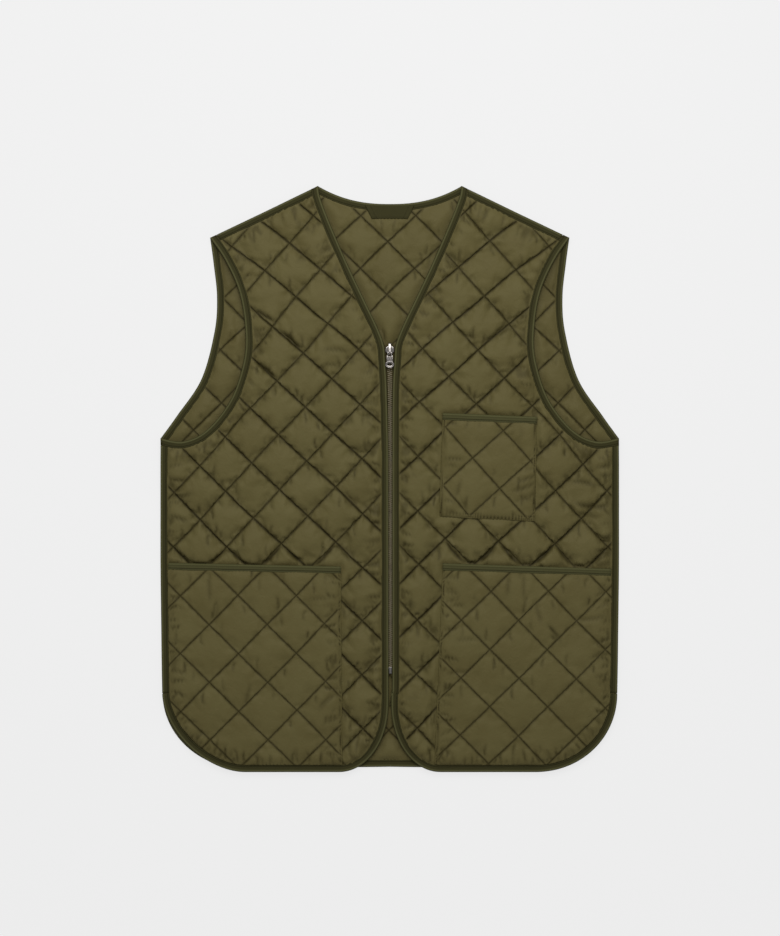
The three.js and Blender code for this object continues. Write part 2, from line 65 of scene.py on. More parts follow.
GAP = 0.3
TAPE = 0.9
CLOTH = 1.4
TAPE_WIDTH = 8.5
TAPE_INSET = TAPE + GAP
TAPE_HEIGHT = 2 * TAPE_INSET + CLOTH
INSIDE_TAPE = TAPE_WIDTH + GAP
BODY_SQUARE = 46.9
POCKET_SQUARE = 49.8
QUILT_ROW = {"front": 28.0, "back": 25.3}
BACK_PUFF = 3.0
BACK_TOP = TAPE_INSET + CLOTH
SEAM_LEVEL = BACK_TOP + GAP
LYING_LEVEL = SEAM_LEVEL + BACK_PUFF
SEAM_SLOPE = {"flat": 26.0, "run": 90.0, "end_clear": 14.0, "end_run": 100.0}
STEP = 3.5
print("front's underside lies", SEAM_LEVEL, "to", LYING_LEVEL, "mm above the table")

# %% [markdown]
# Three kinds of number-making come back all through the file. A smooth step eases a value from 0 to 1. Value
# noise gives wrinkles that are uneven but the same on every run, because its random numbers are seeded. A
# curve through a few rows of a table gives each cut edge.

# %% Easing, noise and curves


def smooth(t):
    """Eases from 0 to 1: 3t^2 - 2t^3 of a number clipped to 0 and 1."""
    t = np.clip(t, 0.0, 1.0)
    return t * t * (3 - 2 * t)


def mix(a, b, t):
    return a + (b - a) * t


def swell(t, power=2.3):
    """Height of padding that rises from a line: a superellipse, (1 - (1 - t)^power)^(1 / power)."""
    return np.clip(1 - (1 - np.clip(t, 0, 1)) ** power, 0, 1) ** (1 / power)


def bell(distance, width):
    """1 on a line, falling off on both sides: exp(-(distance / width)^2)."""
    return np.exp(-((distance / width) ** 2))


def rounded(t):
    """Height of an edge that is rounded by a quarter circle: sqrt(1 - (1 - t)^2)."""
    return np.sqrt(1 - (1 - np.clip(t, 0.02, 1)) ** 2)


def noise(x, y, size, seed):
    """Random numbers from -1 to 1 on a lattice of squares, blended smoothly between the four corners."""
    table = np.random.default_rng(seed).uniform(-1, 1, (256, 256))
    x, y = np.broadcast_arrays(np.asarray(x, float) / size, np.asarray(y, float) / size)
    i, j = np.floor(x).astype(int), np.floor(y).astype(int)
    s, t = smooth(x - i), smooth(y - j)

    def at(di, dj):
        return table[(i + di) % 256, (j + dj) % 256]

    return mix(mix(at(0, 0), at(1, 0), s), mix(at(0, 1), at(1, 1), s), t)


def lengths(points):
    """How far along the line each point lies."""
    return np.concatenate([[0], np.cumsum(np.sqrt((np.diff(points, axis=0) ** 2).sum(1)))])


def places_at(points, at):
    """The points of a line that lie at the given lengths along it."""
    along = lengths(points)
    return np.stack([np.interp(at, along, column) for column in points.T], -1)


def resampled(points, step=STEP):
    """The same line, cut at equal distances of about the step."""
    points = np.asarray(points, float)
    end = lengths(points)[-1]
    return places_at(points, np.linspace(0, end, max(2, int(round(end / step))) + 1))


def looped(line):
    """The line, run on to its own first point."""
    return np.vstack([line, line[:1]])


def unit(vectors):
    """The same directions, each of length 1."""
    return vectors / np.maximum(np.sqrt((vectors**2).sum(-1, keepdims=True)), 1e-9)


def curve_through(rows, step=STEP):
    """Catmull-Rom: between two rows runs the cubic whose slope at each row is half the chord of its
    neighbours. The line is then cut at equal distances."""
    rows = np.asarray(rows, float)
    padded = np.vstack([rows[:1], rows, rows[-1:]])
    t = np.linspace(0, 1, 25)[:-1, None]
    p0, p1, p2, p3 = (padded[k : len(padded) - 3 + k, None, :] for k in range(4))
    v0, v1 = (p2 - p0) / 2, (p3 - p1) / 2
    cubic = p1 + v0 * t + (3 * (p2 - p1) - 2 * v0 - v1) * t**2 + (2 * (p1 - p2) + v0 + v1) * t**3
    return resampled(np.vstack([cubic.reshape(-1, 2), rows[-1:]]), step)


# %% [markdown]
# The vest's outline is half cut, half mirrored. Each stretch below is one edge of the left half, seen as the
# wearer's left, and they run counterclockwise from the middle of the hem. The right half is the same cut
# turned over.

# %% The cut edges
quarter = np.linspace(0, np.pi / 2, 31)


def mirrored(points):
    return np.asarray(points)[::-1] * [-1, 1]


def on_side(side, points):
    return np.asarray(points) if side == "left" else mirrored(points)


def joined(*stretches):
    return np.vstack([stretches[0]] + [np.asarray(stretch)[1:] for stretch in stretches[1:]])


def hem_corner(level, roundness):
    """A quarter of a superellipse: the sine and cosine of a quarter turn, raised to 2 / roundness."""
    across = np.sin(quarter) ** (2 / roundness)
    along = np.clip(np.cos(quarter), 0, 1) ** (2 / roundness)
    x = VENT[0] - HEM_CORNER_WIDTH + HEM_CORNER_WIDTH * across
    return np.stack([x, VENT[1] + (level - VENT[1]) * along], -1)


share = np.linspace(1, 0, 40)
neck = np.stack([NECK_POINT[0] * share, NECK_POINT[1] - NECK_DROP + NECK_DROP * share**NECK_POWER], -1)
shoulder = resampled([SHOULDER_TIP, NECK_POINT])
side_seam = curve_through([VENT, (278.6, -200), (279.9, -95), ARMPIT])
back_armhole = curve_through(
    [ARMPIT, (260, 77), (230, 122), (214, 180), (211, 222), (215, 262), SHOULDER_TIP]
)
front_armhole = curve_through(
    [ARMPIT, (252, 46), (223, 60), (194, 97), (178, 145), (176.5, 185), (184, 229), (201, 267), SHOULDER_TIP]
)
neck_edge = curve_through(
    [NECK_POINT, (84.4, 342), (71.6, 308.7), (50.9, 261), (31.4, 219.6), (14.5, 184), (6.8, 163), (5.7, 150)]
)
corner_top = (CENTRE_CORNER["edge"], FRONT_HEM + CENTRE_CORNER["height"])
# the right side's edge lies further over the zip than the left's
ZIP_EDGE_ROWS = {
    "left": [(5.7, 150), (3.7, 121), (3.0, 91), (2.9, 20), (2.9, -240), (2.2, -254)],
    "right": [(5.7, 150), (3.8, 121), (2.7, 91), (2.0, 60), (1.5, 20), (1.3, -240)],
}
round_corner = np.stack(
    [
        CENTRE_CORNER["edge"] + CENTRE_CORNER["width"] * (1 - np.cos(quarter)),
        FRONT_HEM + CENTRE_CORNER["height"] * (1 - np.sin(quarter)),
    ],
    -1,
)
back_hem_half = np.vstack(
    [[(0, BACK_HEM), (95, (BACK_HEM + BACK_CORNER) / 2)], hem_corner(BACK_CORNER, CORNER_ROUNDNESS["back"])]
)
back_hem = resampled(joined(mirrored(back_hem_half), back_hem_half))
back_half = joined(back_hem_half, side_seam, back_armhole, shoulder, neck)
back_outline = resampled(joined(back_half, mirrored(back_half)))[:-1]
front_edge = {}
front_outline = {}
for name in ("left", "right"):
    hem_part = np.vstack([round_corner, hem_corner(FRONT_HEM, CORNER_ROUNDNESS[name])])
    zip_edge = curve_through(ZIP_EDGE_ROWS[name] + [corner_top])
    front_edge[name] = resampled(joined(neck_edge, zip_edge, hem_part))
    front_outline[name] = on_side(name, joined(front_edge[name], side_seam, front_armhole, shoulder)[:-1])
print("front edge from neck to vent:", round(float(lengths(front_edge["left"])[-1])), "mm")

# %% [markdown]
# Everything near an edge needs to know how far away that edge is: the padding sinks towards the tape, and
# puckers run away from it. So one function measures, for many points at once, the distance to a line, how
# far along the line the nearest point lies, and where that point is.

# %% Distance to an edge


def nearest(line, x, y, closed=False):
    """For each point, takes the nearest point of every short straight piece of the line and keeps the
    closest. Returns the distance, the length along the line, and the nearest point's x and y."""
    line = np.asarray(line, float)
    if closed:
        line = looped(line)
    start, step = line[:-1], np.diff(line, axis=0)
    size2 = np.maximum((step**2).sum(1), 1e-12)
    along = lengths(line)
    x, y = np.asarray(x, float), np.asarray(y, float)
    found = np.empty((x.size, 4))
    chunk = 4000
    for first in range(0, x.size, chunk):
        part = slice(first, first + chunk)
        ox = x.ravel()[part, None] - start[:, 0]
        oy = y.ravel()[part, None] - start[:, 1]
        t = np.clip((ox * step[:, 0] + oy * step[:, 1]) / size2, 0, 1)
        gap2 = (ox - t * step[:, 0]) ** 2 + (oy - t * step[:, 1]) ** 2
        best = gap2.argmin(1)
        row = np.arange(len(best))
        found[part, 0] = np.sqrt(gap2[row, best])
        found[part, 1] = along[best] + t[row, best] * np.sqrt(size2[best])
        found[part, 2:] = start[best] + t[row, best, None] * step[best]
    return tuple(found.reshape(*x.shape, 4)[..., k] for k in range(4))


def is_inside(outline, x, y):
    """Counts how often a line from the point towards +x crosses the outline; inside, that is odd."""
    x, y = np.asarray(x, float), np.asarray(y, float)
    crossed = np.zeros(x.shape, bool)
    for (ax, ay), (bx, by) in zip(outline, np.roll(outline, -1, axis=0)):
        if ay != by:
            level = (ay > y) != (by > y)
            crossed ^= level & (x < ax + (y - ay) * (bx - ax) / (by - ay))
    return crossed


def offset(path, distance, closed=False):
    """Moves each point to the left of the line, along the middle of its two sides' normals, so far that
    both sides move by the distance."""
    path = np.asarray(path, float)
    sides = unit(np.diff(looped(path) if closed else path, axis=0))
    normals = np.stack([-sides[:, 1], sides[:, 0]], -1)
    before = np.roll(normals, 1, axis=0) if closed else np.vstack([normals[:1], normals])
    after = normals if closed else np.vstack([normals, normals[-1:]])
    middle = before + after
    return path + middle * (2 * distance / np.maximum((middle**2).sum(1), 0.4))[:, None]


def inner_outline(outline, distance):
    """The outline moved inwards, without the points that a sharp corner brings too near to it."""
    moved = offset(outline, distance, closed=True)
    kept = moved[nearest(outline, moved[:, 0], moved[:, 1], closed=True)[0] > distance - 0.05]
    return resampled(looped(kept), 2.5)[:-1]


# %% [markdown]
# Front and back are sewn together at the sides and shoulders, and between those seams the front rides up on
# the back's padding. The level of the front's underside eases from one to the other.

# %% Level of the front's underside


def seam_share(x, y):
    """1 along the middle of a side or shoulder seam. It eases out towards both ends and away from it."""
    shares = []
    for start, end in [(VENT, ARMPIT), (NECK_POINT, SHOULDER_TIP)]:
        length = np.hypot(*(end - start))
        ax, ay = (end - start) / length
        along = (np.abs(x) - start[0]) * ax + (y - start[1]) * ay
        across = np.abs((np.abs(x) - start[0]) * ay - (y - start[1]) * ax)
        to_end = smooth((np.minimum(along, length - along) - SEAM_SLOPE["end_clear"]) / SEAM_SLOPE["end_run"])
        shares.append(to_end * (1 - smooth((across - SEAM_SLOPE["flat"]) / SEAM_SLOPE["run"])))
    return np.maximum(*shares)


def front_level(x, y):
    return mix(LYING_LEVEL, SEAM_LEVEL, seam_share(x, y))


# %% [markdown]
# ## Padding, from a small cloth simulation
# Each square of the quilting is nylon held down by four sewn lines, with wadding pushing it up. The sewing
# gathers the cloth a little, so puckers run out of every line. Drawing those by hand looks drawn. Instead a
# patch of a few squares is simulated once: the sewn lines are pinned, the cloth grows a little beside them
# and pressure lifts it. Because every square ends at rest on its own sewn lines, any of them can be laid in
# any place of the quilting, turned or flipped, and still meets its neighbours exactly.

# %% One patch of sewn squares
PATCH_SQUARES = 5
HALF_STEPS = np.array([0.6, 1.0, 1.4, 1.8, 2.1, 2.4, 2.6, 2.8, 2.9, 2.9, 2.95])
HALF_STEPS = HALF_STEPS / HALF_STEPS.sum() / 2
STEPS = np.concatenate([HALF_STEPS, HALF_STEPS[::-1]])
PER = len(STEPS)
PILLOW_HEIGHT = 4.5
GROWN_REACH = 7.0
SETTLING_FRAMES = 22
CLOTH_SETTINGS = {
    "quality": 5,
    "mass": 0.05,
    "tension_stiffness": 15,
    "compression_stiffness": 15,
    "shear_stiffness": 5,
    "bending_stiffness": 0.008,
    "air_damping": 2,
    "vertex_group_mass": "sewn",
    "vertex_group_shrink": "still",
    "shrink_min": -0.1,
    "shrink_max": -0.025,
    "use_pressure": True,
    "uniform_pressure_force": 6,
}


def from_line(t):
    """Distance from the nearest sewn line, in squares: 0 on a line and 0.5 midway."""
    return np.abs(t - np.round(t))


def grid_faces(rows, columns):
    index = np.arange(rows * columns).reshape(rows, columns)
    corners = [index[:-1, :-1], index[1:, :-1], index[1:, 1:], index[:-1, 1:]]
    return np.stack(corners, -1).reshape(-1, 4)


def into_scene(name, data):
    """Makes an object of a mesh, light or camera and puts it into the scene."""
    made = bpy.data.objects.new(name, data)
    bpy.context.scene.collection.objects.link(made)
    return made


def simulated_patch():
    """Starts from swell(u) * swell(v) with a trace of noise. The cloth grows by a tenth beside a sewn line
    and by a fortieth in the middle of a square. Returns how far each point has moved from flat."""
    at = np.concatenate([[0], np.cumsum(np.tile(STEPS, PATCH_SQUARES))])
    u, v = np.meshgrid(at, at, indexing="ij")
    puff = swell(from_line(u) * 2, 2.4) * swell(from_line(v) * 2, 2.4)
    roughness = 0.12 * np.random.default_rng(3).standard_normal(u.shape)
    z = PILLOW_HEIGHT * puff + roughness * np.minimum(puff * 3, 1)
    flat = np.stack([u * BODY_SQUARE, v * BODY_SQUARE, np.zeros_like(u)], -1)
    start = flat + np.stack([np.zeros_like(u), np.zeros_like(u), z], -1)
    mesh = bpy.data.meshes.new("patch")
    mesh.from_pydata(start.reshape(-1, 3) * MM, [], grid_faces(*u.shape))
    block = into_scene("patch", mesh)
    sewn = (np.arange(len(at)) % PER == 0)[:, None] | (np.arange(len(at)) % PER == 0)
    block.vertex_groups.new(name="sewn").add(np.flatnonzero(sewn).tolist(), 1.0, "REPLACE")
    still = block.vertex_groups.new(name="still")
    near_line = np.minimum(from_line(u), from_line(v)) * BODY_SQUARE
    level = np.round((1 - bell(near_line, GROWN_REACH)) * 10).astype(int).ravel()
    for tenth in range(11):
        still.add(np.flatnonzero(level == tenth).tolist(), tenth / 10, "REPLACE")
    cloth = block.modifiers.new("cloth", "CLOTH")
    for key, value in CLOTH_SETTINGS.items():
        setattr(cloth.settings, key, value)
    cloth.settings.effector_weights.gravity = 0
    cloth.collision_settings.use_collision = False
    cloth.collision_settings.use_self_collision = False
    for step in range(1, SETTLING_FRAMES + 1):
        bpy.context.scene.frame_set(step)
    settled = block.evaluated_get(bpy.context.evaluated_depsgraph_get()).to_mesh()
    points = np.empty(len(settled.vertices) * 3, np.float32)
    settled.vertices.foreach_get("co", points)
    bpy.data.objects.remove(block)
    bpy.context.scene.frame_set(1)
    return points.reshape(flat.shape) / MM - flat


patch = simulated_patch()
print("patch:", patch.shape[0] ** 2, "points, puffed to", round(float(patch[..., 2].max()), 1), "mm")

# %% [markdown]
# The patch is cut into its squares. Each is kept in its eight positions, four of them flipped, in a table
# that the panels draw from. Sideways moves turn with the square.

# %% A table of squares
cuts = [(a * PER, b * PER) for a in range(PATCH_SQUARES) for b in range(PATCH_SQUARES)]
blocks = np.stack([patch[a : a + PER + 1, b : b + PER + 1] for a, b in cuts])


def flipped(squares, way):
    """Reads the squares backwards along one side and turns that sideways move round."""
    turned = np.flip(squares, axis=1 + way).copy()
    turned[..., way] *= -1
    return turned


both_ways = np.concatenate([blocks, blocks.transpose(0, 2, 1, 3)[..., [1, 0, 2]]])
once = np.concatenate([both_ways, flipped(both_ways, 0)])
SQUARES = np.concatenate([once, flipped(once, 1)])[:, :PER, :PER]
# how much of the simulated sideways moves is kept: all of it lets the puffs hang over their lines
SIDEWAYS = 0.4
print(len(SQUARES), "squares to choose from, each of", PER, "by", PER, "points")

# %% [markdown]
# ## Meshes from numbers
# A piece is a list of points and faces, worked out as whole arrays. Values such as the distance along a
# tape ride on the points as attributes, for the material to read.

# %% Putting a piece into the scene


def link_mesh(name, mesh):
    mesh.shade_smooth()
    return into_scene(name, mesh)


def add_piece(name, points, faces, attributes=None, outwards=False):
    """Puts points in millimetres and faces into a mesh, with any values on its points, and turns the
    faces outwards where that is asked."""
    mesh = bpy.data.meshes.new(name)
    mesh.from_pydata(np.asarray(points, float).reshape(-1, 3) * MM, [], faces)
    for label, values in (attributes or {}).items():
        layer = mesh.attributes.new(label, "FLOAT", "POINT")
        layer.data.foreach_set("value", np.asarray(values, np.float32).ravel())
    if outwards:
        work = bmesh.new()
        work.from_mesh(mesh)
        bmesh.ops.recalc_face_normals(work, faces=work.faces)
        work.to_mesh(mesh)
        work.free()
    return link_mesh(name, mesh)


def tube_faces(rows, ring):
    """Quads between each ring of points and the next."""
    index = np.arange(rows * ring).reshape(rows, ring)
    after = np.roll(index, -1, axis=1)
    return np.stack([index[:-1], index[1:], after[1:], after[:-1]], -1).reshape(-1, 4)


def rim_of(faces):
    """The edges that only one face uses, each in the direction in which its face runs."""
    edges = np.concatenate([faces[:, [k, (k + 1) % 4]] for k in range(4)])
    _, first, uses = np.unique(np.sort(edges, 1), axis=0, return_index=True, return_counts=True)
    return edges[first[uses == 1]]


def both_sides(faces, rim, count):
    """Faces of a sheet, the same turned over for its copy below, and the wall between their rims."""
    wall = np.column_stack([rim[:, 1], rim[:, 0], rim + count])
    return np.vstack([faces, faces[:, ::-1] + count, wall])


def close_flat(made):
    """Fills the open loop of edges with flat faces that look down."""
    work = bmesh.new()
    work.from_mesh(made.data)
    open_edges = [edge for edge in work.edges if len(edge.link_faces) == 1]
    filled = bmesh.ops.triangle_fill(work, edges=open_edges, use_beauty=False, normal=(0, 0, -1))["geom"]
    faces = [item for item in filled if isinstance(item, bmesh.types.BMFace)]
    for face in faces:
        face.smooth = False
        if face.normal.z > 0:
            face.normal_flip()
    left = sum(1 for edge in work.edges if len(edge.link_faces) != 2)
    work.to_mesh(made.data)
    work.free()
    print(made.name, "closed with", len(faces), "flat faces; open edges left:", left)


# %% [markdown]
# ## Quilted panels
# Panels are closed: a puffed upper side, a plain underside and a narrow wall between them. The upper side is
# a grid along the sewn lines, so each line falls exactly on a row of points and stays sharp. The grid is cut
# off along the panel's outline by dropping the faces outside it and drawing the last points onto the line.

# %% Laying the quilting out
HALF_ACROSS = BODY_SQUARE * np.sqrt(0.5)


def quilting(square, crossing, turn=0.0, lean=0, moves="pocket"):
    """The side of a square, a crossing's place, the turn in degrees, which way the upper part leans, and
    the table of how the cloth has settled."""
    return {"square": square, "crossing": crossing, "turn": turn, "lean": lean, "moves": moves}


QUILTS = {
    "back": quilting(BODY_SQUARE, (0, QUILT_ROW["back"]), moves="back"),
    "left": quilting(BODY_SQUARE, (HALF_ACROSS, QUILT_ROW["front"]), lean=1, moves="left"),
    "right": quilting(BODY_SQUARE, (-HALF_ACROSS, QUILT_ROW["front"]), lean=-1, moves="right"),
    "lower_left": quilting(POCKET_SQUARE, (121.8, -207.2), turn=-0.5),
    "lower_right": quilting(POCKET_SQUARE, (-149.6, -176.9), turn=0.3),
    "chest": quilting(POCKET_SQUARE, (101.6, 25.6), turn=-3.2),
}
SHOULDER_LEAN = {"share": 0.13, "start": 150, "run": 60}
WANDER = 1.1
SETTLED_REACH = 42.0
# how the panels have settled: x and y on the ruled pattern, and how far the crossing there has moved
SETTLED = {
    "right": np.array([
        (-118, 294, -3.7, -5.1), (-184, 294, -9.6, -11.2), (-147, 261, -5.3, -6.7), (-81, 261, -3.9, -4.7),
        (-110, 228, -2.8, -5.1), (-43, 227, -2.6, -2.4), (-137, 194, -6.7, -9.2), (-70, 194, -5.7, -4.5),
        (-99, 161, -7.1, -7.5), (-33, 161, -5.5, -2.0), (-132, 128, -5.1, -9.2), (-66, 128, -4.3, -7.5),
        (-99, 95, -3.9, -6.3), (-33, 95, -2.8, -1.4), (-132, 61, -4.9, -7.3), (-67, 61, -1.5, -3.9),
        (-231, 29, 0.0, -13.9), (-166, 28, -2.4, -7.8), (-99, 28, -2.0, -6.1), (-33, 29, -0.5, -2.9),
        (-265, -5, 3.4, -11.0), (-199, -5, -2.4, -8.5), (-133, -5, -1.2, -9.0), (-66, -4, -0.5, -5.9),
        (-231, -39, -0.5, -10.7), (-167, -39, 0.5, -9.0), (-100, -39, 0.0, -4.9), (-33, -38, -0.7, -3.9),
        (-265, -72, 1.0, -11.0), (-200, -72, 1.5, -11.7), (-134, -72, 2.2, -6.1), (-66, -71, 0.0, -7.1),
        (-33, -104, 0.5, -3.2), (-33, -172, -0.4, -2.0), (-33, -237, -0.4, -1.6), (-32, -303, 0.0, -0.8),
    ]),
    "pocket": np.zeros((1, 4)),
    "back": np.array([
        (199, 224, 4.5, -4), (199, 158, 8, -1), (199, 92, 6.4, 1), (231, 59, 6.8, 1), (0, -300, 0, 0),
        (-199, 224, -4.5, -4), (-199, 158, -8, -1), (-199, 92, -6.4, 1), (-231, 59, -6.8, 1),
        (0, 290, -1.8, -2.1), (-33, 257, -3.2, 0.5), (0, 224, -3.7, 1.2),
    ]),
    "left": np.array([
        (90, 327, 1.2, -0.6), (118, 294, 3.3, -3.5), (184, 293, 10.8, -11.2), (147, 260, 7.7, -3.9),
        (81, 260, 2.0, -1.4), (43, 228, 2.4, -1.6), (110, 227, 4.9, -4.1), (71, 195, 6.9, -3.0),
        (138, 194, 8.5, -5.9), (33, 161, 7.7, -1.8), (100, 161, 8.7, -3.9), (66, 127, 6.3, -2.4),
        (132, 127, 7.1, -4.5), (33, 95, 2.0, 0.8), (100, 94, 5.3, -2.4), (166, 94, 6.9, -5.1),
        (199, 62, 9.3, -6.8), (34, 28, 1.2, -0.7), (232, 28, 4.6, -10.5), (198, -5, 3.7, -8.1),
        (265, -5, -2.2, -8.5), (34, -38, -0.2, -0.7), (232, -38, 1.2, -11.7), (67, -72, 0.0, 0.0),
        (132, -71, 0.0, -4.1), (200, -71, 2.0, -6.8), (265, -71, 1.0, -11.7), (34, -104, 1.7, 0.0),
        (34, -170, 0.4, -0.8), (34, -237, 0.0, -0.8), (34, -303, 0.0, -0.4),
    ]),
}


def quilt_angle(quilt):
    return np.pi / 4 + np.radians(quilt["turn"])


def settled(quilt, x, y):
    """How far the cloth at x and y has moved: the mean of the measured moves, each weighted by
    exp(-(distance / reach)^2)."""
    rows = SETTLED[quilt["moves"]]
    far2 = (x[..., None] - rows[:, 0]) ** 2 + (y[..., None] - rows[:, 1]) ** 2
    weight = np.exp(-(far2 - far2.min(-1, keepdims=True)) / SETTLED_REACH**2)
    weight /= weight.sum(-1, keepdims=True)
    return weight @ rows[:, 2], weight @ rows[:, 3]


def plane_of(quilt, u, v):
    """Turns places counted in squares into x and y. The upper fronts lean outwards, both fronts have
    settled a little towards the sides, and no sewn line is quite straight: it wanders by a millimetre."""
    angle = quilt_angle(quilt)
    across, along = u * quilt["square"], v * quilt["square"]
    x = quilt["crossing"][0] + across * np.cos(angle) - along * np.sin(angle)
    y = quilt["crossing"][1] + across * np.sin(angle) + along * np.cos(angle)
    above = np.maximum(0, y - SHOULDER_LEAN["start"])
    x = x + quilt["lean"] * SHOULDER_LEAN["share"] * above * smooth(above / SHOULDER_LEAN["run"])
    moved_x, moved_y = settled(quilt, x, y)
    x, y = x + moved_x, y + moved_y
    seed = int(abs(quilt["crossing"][0]) * 10)
    return x + WANDER * noise(x, y, 61, seed + 1), y + WANDER * noise(x, y, 57, seed + 2)


def reach_of(quilt, outline):
    """How many squares the outline spans from the quilting's crossing, both ways, with one to spare."""
    angle = -quilt_angle(quilt)
    x, y = outline[:, 0] - quilt["crossing"][0], outline[:, 1] - quilt["crossing"][1]
    u = (x * np.cos(angle) - y * np.sin(angle)) / quilt["square"]
    v = (x * np.sin(angle) + y * np.cos(angle)) / quilt["square"]
    return [(int(np.floor(t.min())) - 1, int(np.ceil(t.max())) + 1) for t in (u, v)]


def quilt_grid(quilt, outline, seed):
    """A grid that covers the outline: x, y, each puffed square's sideways moves and height, the distance
    to the nearest sewn line, whether that line climbs to the left, and the place along it, all as arrays."""
    (u0, u1), (v0, v1) = reach_of(quilt, outline)
    at_u = u0 + np.concatenate([[0], np.cumsum(np.tile(STEPS, u1 - u0))])
    at_v = v0 + np.concatenate([[0], np.cumsum(np.tile(STEPS, v1 - v0))])
    u, v = np.meshgrid(at_u, at_v, indexing="ij")
    choice = np.random.default_rng(seed).integers(0, len(SQUARES), (u1 - u0, v1 - v0))
    moves = SQUARES[choice].transpose(0, 2, 1, 3, 4).reshape((u1 - u0) * PER, (v1 - v0) * PER, 3)
    moves = np.pad(moves, ((0, 1), (0, 1), (0, 0)))
    x, y = plane_of(quilt, u, v)
    angle = quilt_angle(quilt)
    climbs_left = from_line(u) < from_line(v)
    # whole numbers of squares keep the ripples of one line apart from those of the next
    place = np.where(climbs_left, v + 37 * np.round(u), u + 23 * np.round(v))
    across, along = SIDEWAYS * moves[..., 0], SIDEWAYS * moves[..., 1]
    return {
        "x": x,
        "y": y,
        "dx": across * np.cos(angle) - along * np.sin(angle),
        "dy": across * np.sin(angle) + along * np.cos(angle),
        "dz": np.maximum(moves[..., 2], 0),
        "line": np.minimum(from_line(u), from_line(v)) * quilt["square"],
        "climbs_left": climbs_left.astype(float),
        "along_line": place * quilt["square"],
    }


# %% [markdown]
# The thread lies in the bottom of every sewn line. Its stitches are tiny spindles of twelve faces, laid
# every three millimetres along the rows of points that the lines fall on, and joined into one mesh a panel.

# %% Thread
STITCH = {"pitch": 3.0, "half": 1.25, "thick": 0.2}
threads = {}


def lay_thread(name, line, mask=None, lift=0.05):
    """Puts a stitch every few millimetres along a line of x, y, z points, where the mask is set."""
    line = np.asarray(line, float)
    if len(line) < 2:
        return
    along = lengths(line)
    at = np.arange(STITCH["pitch"] / 2, along[-1], STITCH["pitch"])
    middle, ahead, behind = (places_at(line, at + shift) for shift in (0, 0.5, -0.5))
    kept = np.ones(len(at), bool)
    if mask is not None:
        kept = np.interp(at, along, np.asarray(mask, float)) > 0.99
    way = unit((ahead - behind)[kept])
    threads.setdefault(name, []).append(np.hstack([middle[kept] + [0, 0, lift], way]))


def thread_mesh(name):
    """Each stitch is a four-sided spindle: a point, two rings and a point along its direction."""
    rows = np.vstack(threads[name])
    centre, way = rows[:, None, :3], rows[:, None, 3:]
    sideways = unit(np.cross(way, [0, 0, 1.0]))
    up = np.cross(sideways, way)
    turn = np.arange(4)[:, None] * np.pi / 2
    ring = (np.cos(turn) * sideways + np.sin(turn) * up) * STITCH["thick"]
    half = way * STITCH["half"]
    rings = [centre - half * 0.6 + ring, centre + half * 0.6 + ring]
    points = np.concatenate([centre - half, *rings, centre + half], 1)
    around = [(1 + k, 1 + (k + 1) % 4) for k in range(4)]
    quads = np.array([(a, b, b + 4, a + 4) for a, b in around])
    tips = np.array([(0, b, a) for a, b in around] + [(9, a + 4, b + 4) for a, b in around])
    first = 10 * np.arange(len(rows))[:, None, None]
    faces = (quads + first).reshape(-1, 4).tolist() + (tips + first).reshape(-1, 3).tolist()
    made = add_piece(name, points, faces)
    print(name, "has", len(rows), "stitches")
    return made


# %% A quilted body


def quilted_body(node, quilt, outline, surface, underside, seed, flat_base=False):
    """A closed quilted panel in place of a node. surface(grid) gives the upper side's x, y, z, how deep in
    shade it lies and where its thread shows; underside(x, y) gives the level below it."""
    grid = quilt_grid(quilt, outline, seed)
    inside = is_inside(outline, grid["x"], grid["y"])
    faces = grid_faces(*inside.shape)
    faces = faces[inside.ravel()[faces].any(1)]
    keep, faces = np.unique(faces, return_inverse=True)
    faces = faces.reshape(-1, 4)
    used = {label: values.ravel()[keep] for label, values in grid.items()}
    held = inside.ravel()[keep]
    _, _, foot_x, foot_y = nearest(outline, used["x"], used["y"], closed=True)
    used["x"] = np.where(held, used["x"], foot_x)
    used["y"] = np.where(held, used["y"], foot_y)
    x, y, z, shade, shows = surface(used)
    top = np.column_stack([np.where(held, x, foot_x), np.where(held, y, foot_y), z])
    sheet = np.full(inside.shape, -1)
    sheet.ravel()[keep] = np.arange(len(keep))
    sewn_rows = [sheet[k] for k in range(0, sheet.shape[0], PER)]
    sewn_rows += [sheet[:, k] for k in range(0, sheet.shape[1], PER)]
    for row in sewn_rows:
        row = row[row >= 0]
        lay_thread("thread_" + node, top[row], (shows & held)[row])
    count = len(top)
    rim = rim_of(faces)
    if flat_base:
        edge_points, edge = np.unique(rim, return_inverse=True)
        base = np.column_stack([top[edge_points, :2], np.full(len(edge_points), underside(0, 0))])
        wall = np.column_stack([rim[:, 1], rim[:, 0], edge.reshape(-1, 2) + count])
        points, all_faces = np.vstack([top, base]), np.vstack([faces, wall])
        shades = np.concatenate([shade, shade[edge_points]])
    else:
        low = np.column_stack([used["x"], used["y"], underside(used["x"], used["y"])])
        points, all_faces = np.vstack([top, low]), both_sides(faces, rim, count)
        shades = np.concatenate([shade, shade])
    made = add_piece(node + "_quilted", points, all_faces, {"shade": shades})
    if flat_base:
        close_flat(made)
    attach(made, "vest")
    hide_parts(node)
    print(made.name, "has", len(made.data.polygons), "faces")
    return made
